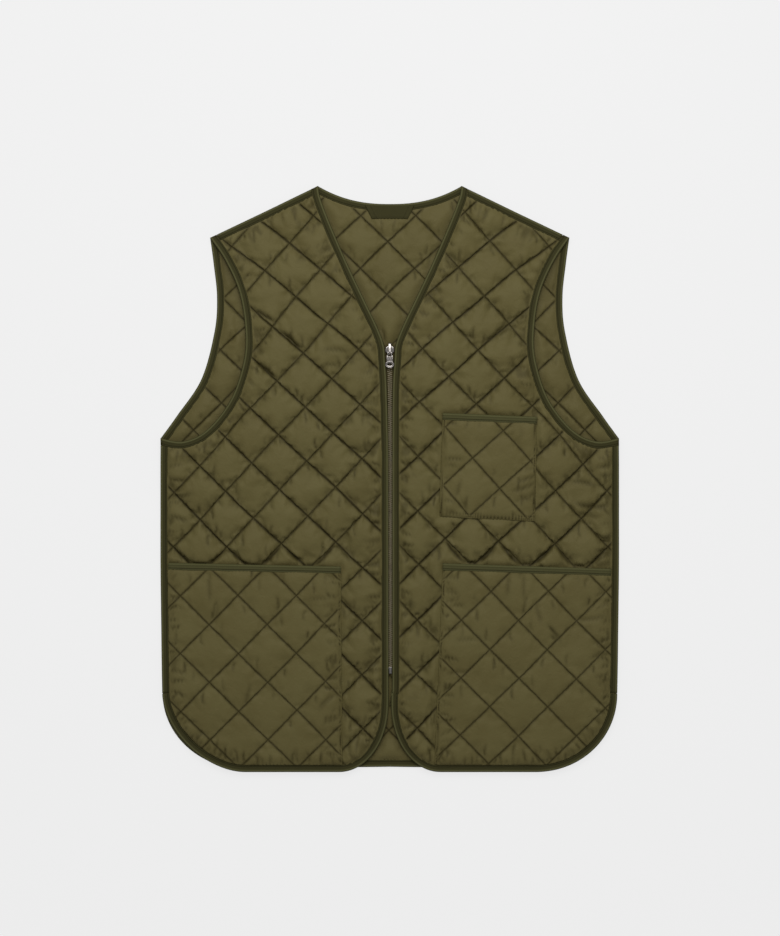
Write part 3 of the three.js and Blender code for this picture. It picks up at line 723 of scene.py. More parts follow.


# %% [markdown]
# Cloth that was folded, worn and laid down has creases of its own. The deepest are listed one by one, each a
# short line with a depth and a width: beside the armholes, above the pocket mouths where the padding bulges
# over, and across the side seams. A trough is pressed in along the line with a low ridge on both sides.

# %% Creases listed one by one
# start x and y, end x and y, how far the middle bends to the left, depth, width
FRONT_CREASES = {
    "left": [
        (67.4, -73.2, 91.8, -100.8, -2.5, 2.6, 2.0),
        (91.8, -100.8, 106.4, -101.3, 0.0, 2.6, 1.8),
        (106.4, -101.3, 129.6, -78.1, -2.5, 2.4, 1.9),
        (133.3, -75.6, 158.2, -103.7, -1.5, 2.5, 1.9),
        (158.2, -103.7, 174.8, -103.7, 0.0, 2.6, 1.8),
        (174.8, -103.7, 200.4, -78.1, -1.5, 2.2, 1.9),
        (201.6, -78.1, 222.3, -104.9, -1.0, 2.0, 1.8),
        (222.3, -104.9, 239.4, -105.7, 0.0, 2.5, 1.8),
        (239.4, -105.7, 262.6, -85.4, -1.5, 1.9, 1.8),
        (114, 164.5, 145, 187, 1.0, 1.9, 2.2),
        (151, 192, 173, 208.5, 1.5, 1.2, 2.0),
        (163, 158.5, 174, 157, 1.0, 0.9, 1.8),
        (220.7, -2.8, 251, -9, 3.0, 1.3, 2.4),
        (224.8, -27, 271, -29, -5.0, 1.6, 2.6),
        (246.5, -64.4, 271, -71.5, -2.0, 1.5, 2.0),
        (255, -76, 272, -78, 1.5, 1.5, 1.8),
        (254, -97, 272, -92, 1.0, 1.4, 1.6),
        (213, 58, 246, 12, 2.0, 1.0, 2.5),
    ],
    "right": [
        (-166.5, 205.8, -141.2, 192.2, 1.5, 2.2, 2.0),
        (-133, 181, -107.7, 157.4, 1.0, 2.6, 2.0),
        (-163.3, 141.8, -138.2, 123.8, 1.0, 2.7, 2.0),
        (-82.7, 158.6, -48.9, 155.4, 2.5, 1.0, 2.4),
        (-80.2, 139.7, -60.7, 137.5, 2.0, 0.9, 2.2),
        (-259.5, -85.4, -243.7, -102.5, -1.0, 2.2, 1.9),
        (-243.7, -102.5, -221.7, -103.7, 0.0, 2.5, 1.8),
        (-221.7, -103.7, -199.8, -84.2, -1.0, 2.2, 1.9),
        (-197.3, -84.7, -171.7, -104.9, -1.0, 2.2, 1.9),
        (-171.7, -104.9, -155.9, -105.7, 0.0, 2.6, 1.8),
        (-155.9, -105.7, -131.9, -79.8, -1.0, 2.4, 1.9),
        (-130.2, -79.8, -102.9, -104.9, -1.0, 2.2, 1.9),
        (-102.9, -104.9, -92.4, -105.7, 0.0, 2.4, 1.8),
        (-92.4, -105.7, -65.6, -78.8, -1.0, 2.1, 1.9),
        (-265, -1, -249, -4, 2.0, 1.3, 1.9),
        (-270, -12, -254, -13, -1.0, 1.4, 1.9),
        (-270, -44, -246, -52, 2.0, 1.3, 2.2),
        (-271, -20, -240, -15, -2.5, 1.2, 2.4),
    ],
}
POCKET_CREASES = {
    "left": [
        (193.6, -178, 208.4, -197.6, 0.0, 1.8, 2.0),
        (197, -190, 204, -201, 0.0, 1.2, 1.6),
        (220, -170, 268, -166, -2.5, 0.9, 2.2),
        (244, -218, 270, -214, 1.5, 1.1, 1.8),
        (145, -118, 143, -142, 0.0, 0.8, 2.6),
        (163, -115, 163, -148, 0.0, 0.7, 2.4),
        (176, -150, 184, -176, 1.0, 0.8, 2.6),
        (77, -154, 91, -155, 1.0, 0.9, 2.0),
        (79, -197, 110, -196, 1.5, 0.7, 2.2),
        (68, -238, 96, -236, 1.5, 0.8, 2.2),
        (66, -263, 80, -264, 0.0, 1.0, 1.8),
    ],
    "right": [
        (-282, -150, -268, -153, 1.0, 1.1, 1.8),
        (-221, -118, -219, -150, 0.0, 0.8, 2.4),
        (-210, -150, -214, -176, 1.0, 0.6, 2.4),
        (-170, -250, -176, -276, 0.0, 0.8, 2.4),
        (-80, -246, -62, -243, 1.5, 1.0, 2.0),
        (-86, -280, -66, -262, 1.5, 1.2, 2.2),
        (-82, -298, -62, -292, 1.0, 1.0, 1.8),
        (-98, -147, -72, -146, 1.5, 0.7, 2.2),
    ],
    "chest": [
        (66, 24.5, 90, 23.5, 1.0, 1.1, 1.9),
        (150, -14, 177, -3, -2.0, 1.2, 2.2),
        (156, -3, 177, 6, -1.5, 1.2, 2.0),
        (160, -24, 177, -16, -1.0, 1.0, 1.8),
        (86, -2, 80, -22, 1.0, 0.8, 2.4),
        (92, 62, 98, 74, 0.0, 0.9, 1.6),
    ],
}
DEEPEST = 2.3


def creased(rows, x, y):
    """Sum over the creases: minus depth times exp(-(d / width)^2), plus a third of it as a ridge two and a
    half widths away, both fading towards the crease's ends. Also returns the painted shade in each trough."""
    height, dark = np.zeros_like(x), np.zeros_like(x)
    t = np.linspace(0, 1, 13)
    for x0, y0, x1, y1, bend, depth, width in rows:
        length = np.hypot(x1 - x0, y1 - y0)
        sag = 4 * t * (1 - t) * bend / length
        line = np.stack([mix(x0, x1, t) - sag * (y1 - y0), mix(y0, y1, t) + sag * (x1 - x0)], -1)
        reach = length / 2 + 14
        box = (np.abs(x - (x0 + x1) / 2) < reach) & (np.abs(y - (y0 + y1) / 2) < reach)
        gap, along, _, _ = nearest(line, x[box], y[box])
        to_end = np.minimum(along, lengths(line)[-1] - along) / length
        fade = 0.3 + 0.7 * smooth(to_end / 0.25)
        trough = bell(gap, width) * fade
        ridge = bell(gap - 2.5 * width, 1.3 * width) * fade
        height[box] += depth * (ridge / 3 - trough)
        # painted shade in the trough, darker for a deeper crease
        dark[box] = np.maximum(dark[box], trough * min(depth / DEEPEST, 1))
    return height, dark


# %% [markdown]
# ## Puckers and pressing
# Sewing draws cloth together, so fine puckers run away from every bound or sewn edge. They are noise that
# changes quickly along the edge and slowly away from it. Padding is also pressed flat where something lies
# on it: the back under the fronts' tape, and the fronts under the pockets.

# %% Puckers beside an edge


def puckers(along, away, seed, size=7.0, reach=15.0):
    """Ripples of about the given width along an edge. They die away over the reach."""
    fine = noise(along, away * 0.2, size, seed) + 0.5 * noise(along, away * 0.3, size * 0.55, seed + 1)
    return fine * smooth(away / 3) * np.exp(-np.maximum(away, 0) / reach)


def groove_shade(grid, side, width=1.7):
    """How much painted shade a sewn line gets: 1 in the bottom of the line, falling off on both sides. Lines
    that run down towards the zip from a front's outer side get more of it than those across them."""
    painted_shade_share = {"left": 1 - grid["climbs_left"], "right": grid["climbs_left"], "back": 0.5, "pocket": 0.0}[side]
    return mix(0.78, 1.0, painted_shade_share) * bell(grid["line"], width)


def drawn_in(grid, seed, depth):
    """Short ripples that run away from every sewn line, because the thread draws the cloth together."""
    return depth * puckers(grid["along_line"], grid["line"], seed, size=6.5, reach=7)


def ripple_shade(ripples, strength=0.45):
    """Hollows of the ripples lie a little in shade."""
    return strength * smooth((-ripples - 0.25) / 0.7)


def places_in(quilt, outline, shift):
    """Every crossing of the quilting inside the outline, or with a shift of 0.5 every square's middle."""
    (u0, u1), (v0, v1) = reach_of(quilt, outline)
    counts = np.arange(u0 + shift, u1 + 0.5), np.arange(v0 + shift, v1 + 0.5)
    x, y = plane_of(quilt, *np.meshgrid(*counts, indexing="ij"))
    return np.column_stack([x.ravel(), y.ravel()])[is_inside(outline, x, y).ravel()]


def gathers(quilt, outline, seed):
    """Small arcs where a puff's corner is drawn in: rows of creases, like those listed above, a few
    millimetres above or below seven crossings in ten."""
    rng = np.random.default_rng(seed)
    rows = []
    for cx, cy in places_in(quilt, outline, 0.0):
        side = rng.choice([1, 1, -1])
        half, away, lean, depth, skip = rng.uniform([3.5, 4.5, -1.5, 0.6, 0], [7.0, 8.0, 1.5, 1.3, 1])
        if skip > 0.3:
            start, end = (cx - half, cy + side * away - lean), (cx + half, cy + side * away + lean)
            rows.append((*start, *end, 1.6, depth, 1.5))
    return rows


def streaks(quilt, outline, seed):
    """Fine creases that run mostly up and down inside the squares: one to three in each, of uneven length,
    each ending near a sewn line."""
    rng = np.random.default_rng(seed)
    rows = []
    for cx, cy in places_in(quilt, outline, 0.5):
        for _ in range(rng.integers(1, 4)):
            sideways, length, lean, bend, depth = rng.uniform([-19, 7, -4, -3, 0.5], [19, 18, 4, 3, 1.5])
            end = rng.choice([1, -1]) * (30 - abs(sideways))
            start = end - np.sign(end) * length
            first, last = (cx + sideways - lean / 2, cy + start), (cx + sideways + lean / 2, cy + end)
            rows.append((*first, *last, bend, depth, 1.6))
    return rows


def tugs(line, inset, spacing, seed, closed=False):
    """Creases that run inwards from an edge, where the sewing tugs at the cloth: uneven in length, depth,
    spacing and slant. The inside of the edge is on the left of its line."""
    rng = np.random.default_rng(seed)
    line = resampled(looped(line) if closed else line, 1.0)
    start = offset(line, inset)
    way = offset(line, inset + 1.0) - start
    rows, at = [], rng.uniform(0, spacing)
    while at < len(line) - 2:
        k = int(at)
        length, slant, bend, depth = rng.uniform([5, -0.6, -2.5, 0.5], [20, 0.6, 2.5, 1.7])
        along = np.array([way[k, 1], -way[k, 0]])
        end = start[k] + (way[k] + slant * along) * length
        rows.append((*start[k], *end, bend, depth, 1.5))
        at += spacing * rng.uniform(0.3, 1.7)
    return rows


PUFF = {"front": 0.95, "back": 0.85, "under": 0.45, "pocket": 0.5, "droop": 0.3}
EDGE_RISE = 15.0
# how far from each kind of edge the padding starts to rise
RISE_FROM = {"back": 9.4, "front": 9.5, "pocket": 10, "sewn": 3.6, "mouth": 9.6}
# where the cloth comes out from under the tape, and where its thread and puckers start
TAPE_END = 8
BESIDE_TAPE = 9
POCKET_SHAPES = {
    "chest": np.array([(64.5, 80.5), (60.2, -46.4), (177.2, -51.7), (179.5, 75.8)]),
    "left": np.array([(64.6, -102.6), (53.5, -370), (300, -370), (300, -110.5)]),
    "right": np.array([(-59.5, -106.5), (-300, -101.5), (-300, -370), (-57.5, -370)]),
}
LOOP = {"upper": 30.0, "lower": 22.0, "top": 334.0, "bottom": 317.6, "bed": 0.8}

# %% The back
# painted shade on the back: a little everywhere, more towards the shoulders, and a painted shadow beside the
# fronts' edges
BACK_SHADE = {"least": 0.06, "by_shoulder": 0.3, "by_front": 0.2}
# the zip leaves this much room for the back's padding, within this width and these levels
UNDER_ZIP = {"room": 0.25, "half": 22, "bottom": -256, "top": 172}
# above this level the back shows beside the fronts, so its streaks are worth the work
OPEN_FROM = 40


def covered(x, y):
    """Distance inside the fronts' outline, negative in the open neck, armholes and hem notch."""
    x = np.abs(x)
    gap = nearest(front_outline["left"], x, y, closed=True)[0]
    return np.where(is_inside(front_outline["left"], x, y), gap, -gap)


def back_surface(grid):
    x, y = grid["x"], grid["y"]
    edge, along, _, _ = nearest(back_outline, x, y, closed=True)
    under = covered(x, y)
    rise = swell((edge - RISE_FROM["back"]) / EDGE_RISE)
    scale = mix(PUFF["back"], PUFF["under"], smooth((under + 10) / 14))
    press = mix(1, 0.5, smooth((under + 12) / 12) * (1 - smooth((under - 14) / 14)))
    puff = grid["dz"] * scale * rise * press * (1 - seam_share(x, y))
    open_part = streaks(QUILTS["back"], back_outline, 37)
    hollow, dark = creased([row for row in open_part if row[1] > OPEN_FROM], x, y)
    height = puff + 0.5 * puckers(along, edge - BESIDE_TAPE, 11)
    height = height + (0.5 * noise(x, y, 47, 12) + hollow) * rise
    ceiling = mix(9, LYING_LEVEL - GAP - BACK_TOP, smooth((under + 4) / 5))
    ceiling = ceiling - 1.2 * smooth((under + 4) / 4) * (1 - smooth((under - 10) / 4))
    under_loop = smooth((LOOP["upper"] + 5 - np.abs(x)) / 5) * smooth((y - LOOP["bottom"] + 4) / 4)
    ceiling = mix(ceiling, LOOP["bed"], under_loop)
    by_zip = smooth((UNDER_ZIP["half"] - np.abs(x)) / 5)
    by_zip = by_zip * smooth((y - UNDER_ZIP["bottom"]) / 8) * smooth((UNDER_ZIP["top"] - y) / 8)
    ceiling = mix(ceiling, UNDER_ZIP["room"], by_zip)
    height = np.clip(height, 0, ceiling)
    shade = np.maximum(groove_shade(grid, "back"), dark)
    # painted shade towards the shoulders, and a painted shadow where the fronts' edges lie over the back
    by_shoulder = BACK_SHADE["by_shoulder"] * smooth((y - 190) / 90) * smooth((np.abs(x) - 140) / 20)
    cast = BACK_SHADE["least"] + by_shoulder + BACK_SHADE["by_front"] * smooth((under + 9) / 9)
    shade = np.maximum(shade, cast) * smooth((edge - TAPE_END) / 2)
    shows = (edge > BESIDE_TAPE) & (under < 4)
    return x + grid["dx"] * rise, y + grid["dy"] * rise, BACK_TOP + height, shade, shows


def table_level(x, y):
    return 0.0


back_rim = inner_outline(back_outline, TAPE_INSET)
panels = [quilted_body("back_panel", QUILTS["back"], back_rim, back_surface, table_level, 21, flat_base=True)]

# %% [markdown]
# The fronts carry the marks of the sewing most plainly. Their padding is fullest beside the zip and just
# above the lower pockets' mouths, where it bulges over the edge, and it droops a little towards the hem.

# %% The fronts
FULLER = {"zip_side": 0.18, "above_mouth": 0.28}
FRONT_RIPPLES = {"edge": 1.5, "wide": 0.8, "pocket": 0.7, "drawn": 1.3, "noise": 0.7}


def pocket_gap(name, x, y):
    """Distance outside the pockets of this side, negative on them."""
    found = np.full(np.shape(x), np.inf)
    for key in ("chest", "left") if name == "left" else ("right",):
        shape = POCKET_SHAPES[key]
        gap = nearest(shape, x, y, closed=True)[0]
        found = np.minimum(found, np.where(is_inside(shape, x, y), -gap, gap))
    return found


def fullness(name, x, y):
    """How much more than usual the padding swells: beside the zip, and above the lower pocket's mouth."""
    zip_side = smooth((70 - np.abs(x)) / 30) * smooth((150 - y) / 60)
    mouth = POCKET_SHAPES[name][0, 1]
    above_mouth = smooth((mouth + 55 - y) / 25) * (y > mouth - 12) * smooth((np.abs(x) - 60) / 15)
    return 1 + FULLER["zip_side"] * zip_side + FULLER["above_mouth"] * above_mouth


def front_surface(name):
    quilt, outline = QUILTS[name], front_outline[name]
    rows = FRONT_CREASES[name] + gathers(quilt, outline, 36) + streaks(quilt, outline, 38)
    rows += tugs(outline, RISE_FROM["front"], 14, 47, closed=True)
    scale = FRONT_RIPPLES

    def surface(grid):
        x, y = grid["x"], grid["y"]
        edge, along, _, _ = nearest(outline, x, y, closed=True)
        pocket = pocket_gap(name, x, y)
        rise = swell((edge - RISE_FROM["front"]) / EDGE_RISE)
        press = mix(0.25, 1, smooth((pocket + 2) / 9))
        puff = grid["dz"] * PUFF["front"] * rise * press * fullness(name, x, y)
        hollow, dark = creased(rows, x, y)
        away = edge - BESIDE_TAPE
        ripples = scale["edge"] * puckers(along, away, 31)
        ripples = ripples + scale["wide"] * puckers(along, away, 35, size=13, reach=30)
        by_pocket = scale["pocket"] * puckers(x + y, np.maximum(pocket, 0), 33, reach=9)
        ripples += by_pocket + drawn_in(grid, 45, scale["drawn"]) * rise
        dark = np.maximum(dark, ripple_shade(ripples))
        height = puff + ripples + scale["noise"] * noise(x, y, 43, 34) * rise + hollow * smooth(away / 4)
        height = np.where(pocket < 0, np.minimum(height, 1.2 * smooth((edge - TAPE_END) / 10)), height)
        shade = np.maximum(groove_shade(grid, name), dark) * smooth((edge - TAPE_END) / 2)
        shows = (away > 0) & (pocket > 0.5)
        z = front_level(x, y) + CLOTH + np.maximum(height, -0.5)
        droop = PUFF["droop"] * puff
        return x + grid["dx"] * rise * press, y + (grid["dy"] - droop) * rise * press, z, shade, shows

    return surface


for name, seed in [("left", 22), ("right", 23)]:
    rim = inner_outline(front_outline[name], TAPE_INSET)
    node = f"front_panel_{name}"
    panels.append(quilted_body(node, QUILTS[name], rim, front_surface(name), front_level, seed))

# %% [markdown]
# The pockets are patches of the same cloth, quilted on their own, so their squares are a little larger and
# run on from none of the front's. Their turned-in edges are sewn down in a flat seam. The lower pockets run
# into the tape of the side and hem, so their outline is the pocket's shape where it lies within the front's.

# %% The pockets
SEAM_LINE = 2.3
SECOND_SEAM = 5.6
POCKET_GAP = 0.2
MOUTH_LIFT = 0.9
TUG_SPACING = {"chest": 34, "left": 10, "right": 10}
POCKET_RIPPLES = {"sewn": 0.6, "side": 0.8, "mouth": 0.6, "drawn": 0.8, "noise": 0.6}
FRONT_UNDER = {"chest": "left", "left": "left", "right": "right"}


def edge_of(front, x, y):
    return nearest(front_outline[front], x, y, closed=True)[0]


def pocket_floor(x, y, edge):
    """Top of the pressed front under a pocket, which sinks towards the front's tape."""
    return front_level(x, y) + CLOTH + POCKET_GAP + 1.3 * smooth((edge - 8) / 10)


def clipped(shape, limit):
    """The part of a shape that lies inside another: both outlines' points, those inside the other kept,
    in the order of their angle round the middle."""
    shape, limit = (resampled(looped(line), 1.5)[:-1] for line in (shape, limit))
    kept = np.vstack([shape[is_inside(limit, *shape.T)], limit[is_inside(shape, *limit.T)]])
    middle = (kept.min(0) + kept.max(0)) / 2
    return kept[np.argsort(np.arctan2(kept[:, 1] - middle[1], kept[:, 0] - middle[0]))]


def sewn_edge(key):
    """The stretch of a pocket's outline that is sewn to the front, with the pocket on its left."""
    shape = POCKET_SHAPES[key]
    return {"chest": shape, "left": shape[:2], "right": shape[[3, 0]]}[key]


def mouth_of(key):
    """The two ends of a pocket's mouth, from the wearer's left to the right."""
    shape = POCKET_SHAPES[key]
    return shape[[0, 1]] if key == "right" else shape[[3, 0]]


def seams_of(key, x, y, sewn):
    """How deep the sewing presses: one line along the sewn edge, and a second along the chest's bottom."""
    pressed = bell(sewn - SEAM_LINE, 0.7)
    if key == "chest":
        bottom = nearest(POCKET_SHAPES[key][1:3], x, y)[0]
        pressed = np.maximum(pressed, 0.8 * bell(bottom - SECOND_SEAM, 0.7))
    return pressed


def pocket_surface(key):
    quilt = QUILTS["chest" if key == "chest" else "lower_" + key]
    rows = POCKET_CREASES[key] + streaks(quilt, POCKET_SHAPES[key], 39)
    rows += tugs(sewn_edge(key), 4.5, TUG_SPACING[key], 48)
    if key != "chest":
        rows += tugs(front_outline[key], 10.5, 9, 49, closed=True)
    scale = POCKET_RIPPLES

    def surface(grid):
        x, y = grid["x"], grid["y"]
        edge = edge_of(FRONT_UNDER[key], x, y)
        sewn, along, _, _ = nearest(sewn_edge(key), x, y)
        mouth, mouth_along, _, _ = nearest(mouth_of(key), x, y)
        rise = swell((sewn - RISE_FROM["sewn"]) / 13) * swell((mouth - RISE_FROM["mouth"]) / 11)
        rise = rise * swell((edge - RISE_FROM["pocket"]) / 12)
        puff = grid["dz"] * PUFF["pocket"] * rise
        hollow, dark = creased(rows, x, y)
        clear = smooth((edge - BESIDE_TAPE) / 2)
        ripples = scale["sewn"] * puckers(along, sewn - 3, 41)
        ripples = ripples + scale["side"] * puckers(y, edge - 10, 44, size=8, reach=18)
        by_mouth = scale["mouth"] * puckers(mouth_along, mouth - BESIDE_TAPE, 42, size=9, reach=35)
        ripples += by_mouth + drawn_in(grid, 46, scale["drawn"])
        dark = np.maximum(dark * clear, ripple_shade(ripples, 0.32) * clear)
        height = puff + (ripples + hollow) * rise**0.3 + scale["noise"] * noise(x, y, 51, 43) * rise
        seam = seams_of(key, x, y, sewn)
        body = CLOTH * rounded(sewn / 1.3)
        lift = MOUTH_LIFT * (1 - smooth((mouth - 8) / 6))
        z = pocket_floor(x, y, edge) + body + lift + np.maximum(height, -0.6) - 0.7 * seam
        grooves = groove_shade(grid, "pocket", 1.4) * smooth((sewn - 3) / 2)
        # the pressed seam line gets painted shade as well
        shade = np.maximum(np.maximum(grooves, dark), 0.7 * seam)
        shows = (edge > 9.5) & (sewn > 3.5) & (mouth > 9)
        return x + grid["dx"] * rise, y + grid["dy"] * rise, z, shade, shows

    return surface


for key, node, quilt, seed in [
    ("chest", "chest_pocket", "chest", 24),
    ("left", "lower_pocket_left", "lower_left", 25),
    ("right", "lower_pocket_right", "lower_right", 26),
]:
    front = FRONT_UNDER[key]
    shape = POCKET_SHAPES[key].copy()
    shape[[0, 1 if key == "right" else 3], 1] -= TAPE_INSET
    rim = clipped(shape, inner_outline(front_outline[front], TAPE_WIDTH + 0.4))

    def floor_level(x, y, front=front):
        return pocket_floor(x, y, edge_of(front, x, y))

    panels.append(quilted_body(node, QUILTS[quilt], rim, pocket_surface(key), floor_level, seed))
    seam_rows = [offset(sewn_edge(key), SEAM_LINE)]
    if key == "chest":
        seam_rows.append(offset(shape[1:3], SECOND_SEAM))
    for row in seam_rows:
        row = resampled(row)
        edge = edge_of(front, *row.T)
        z = pocket_floor(*row.T, edge) + CLOTH - 0.62
        mouth = nearest(mouth_of(key), *row.T)[0]
        lay_thread("thread_" + node, np.column_stack([row, z]), (edge > 9.5) & (mouth > 8))

# %% [markdown]
# ## Binding tape
# The tape is a woven strip folded over the raw edge and sewn through. In section it is a C: a rolled outer
# edge, a flat upper strip with the stitch line pressed in, and the same below. The section is carried along
# the edge. Each of its points runs on a rail, the edge moved inwards by that point's distance, and a rail
# ends where it meets the seam that the tape runs into, so the ends are cut to the right angle.

# %% The tape's section
# distance from the edge, whether the level is counted from the lower (0) or the upper (1) side, offset
TAPE_OUTSIDE = np.array([
    (8.5, 0, 0.25), (7.8, 0, 0.0), (4.5, 0, 0.0), (1.6, 0, 0.0), (0.55, 0, 0.45), (0.08, 0, 1.2),
    (0.0, 1, -1.5), (0.35, 1, -0.55), (1.0, 1, -0.08), (1.8, 1, 0.1), (2.5, 1, 0.0), (3.1, 1, -0.35),
    (3.7, 1, -0.55), (4.6, 1, -0.5), (5.5, 1, -0.5), (6.1, 1, -0.62), (6.5, 1, -0.95), (6.9, 1, -0.62),
    (7.5, 1, -0.48), (8.1, 1, -0.6), (8.5, 1, -0.95),
])
TAPE_INSIDE = np.array([
    (8.4, 1, -1.3), (6.5, 1, -1.35), (3.6, 1, -1.25), (1.7, 1, -0.85), (1.0, 1, -1.25),
    (0.8, 0, 1.2), (1.7, 0, 0.7), (8.4, 0, 0.65),
])
TAPE_SECTION = np.vstack([TAPE_OUTSIDE, TAPE_INSIDE])
STITCH_ROW = 16
ROLLED = 1.6
SPARE = 14.0


def opened(section):
    """How far along the section each of its points lies, at the height of an edge tape."""
    return lengths(np.column_stack([section[:, 0], section[:, 1] * TAPE_HEIGHT + section[:, 2]]))


def rail(path, distance, cuts):
    """A line moved inwards and run on past both ends, then cut where it crosses the two cutting lines,
    each a place and a direction, and divided into as many equal steps as the line had."""
    moved = offset(path, distance)
    first, last = moved[0] - moved[1], moved[-1] - moved[-2]
    before = moved[0] + first / np.hypot(*first) * SPARE
    after = moved[-1] + last / np.hypot(*last) * SPARE
    moved = np.vstack([before, moved, after])
    along = lengths(moved)
    ends = [SPARE, along[-1] - SPARE]
    fine = np.linspace(0, along[-1], 4 * len(moved))
    places = places_at(moved, fine)
    for which, cut in enumerate(cuts):
        if cut is None:
            continue
        (px, py), (wx, wy) = cut
        sides = (places[:, 1] - py) * wx - (places[:, 0] - px) * wy
        crossings = np.flatnonzero(sides[:-1] * sides[1:] <= 0)
        if len(crossings):
            k = crossings[np.argmin(np.abs(fine[crossings] - ends[which]))]
            ends[which] = mix(fine[k], fine[k + 1], sides[k] / (sides[k] - sides[k + 1] + 1e-12))
    return places_at(moved, np.linspace(*ends, len(path)))


def tape_cap():
    """Triangles that close a C section: they walk along its outside and its inside together."""
    outer = opened(TAPE_OUTSIDE) / opened(TAPE_OUTSIDE)[-1]
    inner = opened(TAPE_INSIDE[::-1]) / opened(TAPE_INSIDE)[-1]
    a, b, faces = 0, 0, []
    last = len(TAPE_SECTION) - 1
    while a < len(outer) - 1 or b < len(inner) - 1:
        outside_first = b == len(inner) - 1 or (a < len(outer) - 1 and outer[a + 1] <= inner[b + 1])
        faces.append((a, a + 1, last - b) if outside_first else (a, last - b - 1, last - b))
        a, b = (a + 1, b) if outside_first else (a, b + 1)
    return np.array(faces)


def bound_edge(piece, node, path, low, high, seed, start=None, end=None, pale=0.0):
    """A tape folded over an edge, in place of a node. low(x, y) and high(x, y) are the levels of its
    underside and upper side; its inner edge and upper side are a little uneven along it. pale is how far
    its flat strip is made as light as the painted highlight on its rolled edge."""
    path = resampled(path)
    rails = []
    for distance, upper, raised in TAPE_SECTION:
        line = rail(path, distance, (start, end))
        along = lengths(line)
        sway = 0.35 * max(0.0, distance - 4) / 4.5 * noise(along, 0, 14, seed)
        line = line + (offset(line, 1.0) - line) * sway[:, None]
        ripple = upper * (0.12 * noise(along, 0, 8, seed + 1) + 0.18 * noise(along, distance, 23, seed + 2))
        rails.append(np.column_stack([line, mix(low(*line.T), high(*line.T), upper) + raised + ripple]))
    points = np.stack(rails, 1)
    rows, ring = points.shape[:2]
    along = lengths(points[:, 9])
    caps = tape_cap()
    faces = tube_faces(rows, ring).tolist() + caps.tolist() + (caps[:, ::-1] + (rows - 1) * ring).tolist()
    distance, upper = TAPE_SECTION[:, 0], TAPE_SECTION[:, 1]
    # ridge: a painted highlight along the rolled edge, spread over the flat strip as far as pale says;
    # groove: painted shade in the stitch line
    ridge = np.maximum(bell(distance - ROLLED, 0.9), pale) * upper
    groove = bell(distance - TAPE_SECTION[STITCH_ROW, 0], 0.5) * upper
    attributes = {
        "along": np.repeat(along, ring),
        "ridge": np.tile(ridge, rows),
        "groove": np.tile(groove, rows),
    }
    made = add_piece(piece, points, faces, attributes, outwards=True)
    lay_thread("thread_tape", points[:, STITCH_ROW], lift=0.15)
    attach(made, "vest")
    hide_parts(node)
    return made


# %% [markdown]
# Each tape is bound to the level of the cloth inside it: the back's lie on the table, the fronts' ride on
# the back's padding, and a seam's tape takes in both layers. A tape that crosses a seam is cut along it.

# %% Binding every edge


def flat_low(x, y):
    return np.zeros_like(x)


def flat_high(x, y):
    return np.full_like(x, TAPE_HEIGHT)


def front_low(x, y):
    return front_level(x, y) - TAPE_INSET


def front_high(x, y):
    return front_level(x, y) - TAPE_INSET + TAPE_HEIGHT


def seam_high(x, y):
    return front_level(x, y) + CLOTH + TAPE_INSET


def turned_over(cut):
    if cut is None:
        return None
    (x, y), (dx, dy) = cut
    return (-x, y), (-dx, dy)


def inwards(line, place):
    """A cutting line along the inner side of another tape, near a place."""
    moved = offset(line, INSIDE_TAPE)
    k = int(np.argmin(((np.asarray(line) - place) ** 2).sum(1)))
    k = min(max(k, 1), len(moved) - 2)
    return tuple(moved[k]), tuple(moved[k + 1] - moved[k - 1])


on_shoulder = (tuple(SHOULDER_TIP), tuple(NECK_POINT - SHOULDER_TIP))
on_side_seam = (tuple(ARMPIT), (0.0, 1.0))
above_vent = np.vstack([VENT + [0, 0.8], side_seam[1:]])
by_armhole = inwards(front_armhole, SHOULDER_TIP)
by_neck = inwards(front_edge["left"], NECK_POINT)
under_armhole = inwards(front_armhole, ARMPIT)
# edge, path on the left side, lower and upper level, cut at its start and at its end
BOUND_EDGES = [
    ("front_edge", None, front_low, front_high, on_shoulder, None),
    ("front_armhole", front_armhole, front_low, front_high, on_side_seam, on_shoulder),
    ("back_armhole", back_armhole, flat_low, flat_high, on_side_seam, on_shoulder),
    ("shoulder_seam", shoulder, flat_low, seam_high, by_armhole, by_neck),
    ("side_seam", above_vent, flat_low, seam_high, None, under_armhole),
]
tapes = []
for name, seed in [("left", 60), ("right", 90)]:
    for number, (edge, path, low, high, start, end) in enumerate(BOUND_EDGES):
        path = on_side(name, front_edge[name] if path is None else path)
        if name == "right":
            start, end = turned_over(end), turned_over(start)
        piece, node = f"{edge}_tape_{name}", f"{edge}_binding_{name}"
        tapes.append(bound_edge(piece, node, path, low, high, seed + 4 * number, start, end))
neck_line = joined(neck, mirrored(neck))
neck_cuts = (on_shoulder, turned_over(on_shoulder))
for edge, path, seed, cuts in [("back_neck", neck_line, 51, neck_cuts), ("back_hem", back_hem, 54, ())]:
    tapes.append(bound_edge(f"{edge}_tape", f"{edge}_binding", path, flat_low, flat_high, seed, *cuts))
print(len(tapes), "edges bound")

# %% Binding the pocket mouths
MOUTH_TAPE_HEIGHT = 3.4


def mouth_side(front, raised):
    def level(x, y):
        return pocket_floor(x, y, edge_of(front, x, y)) + raised

    return level


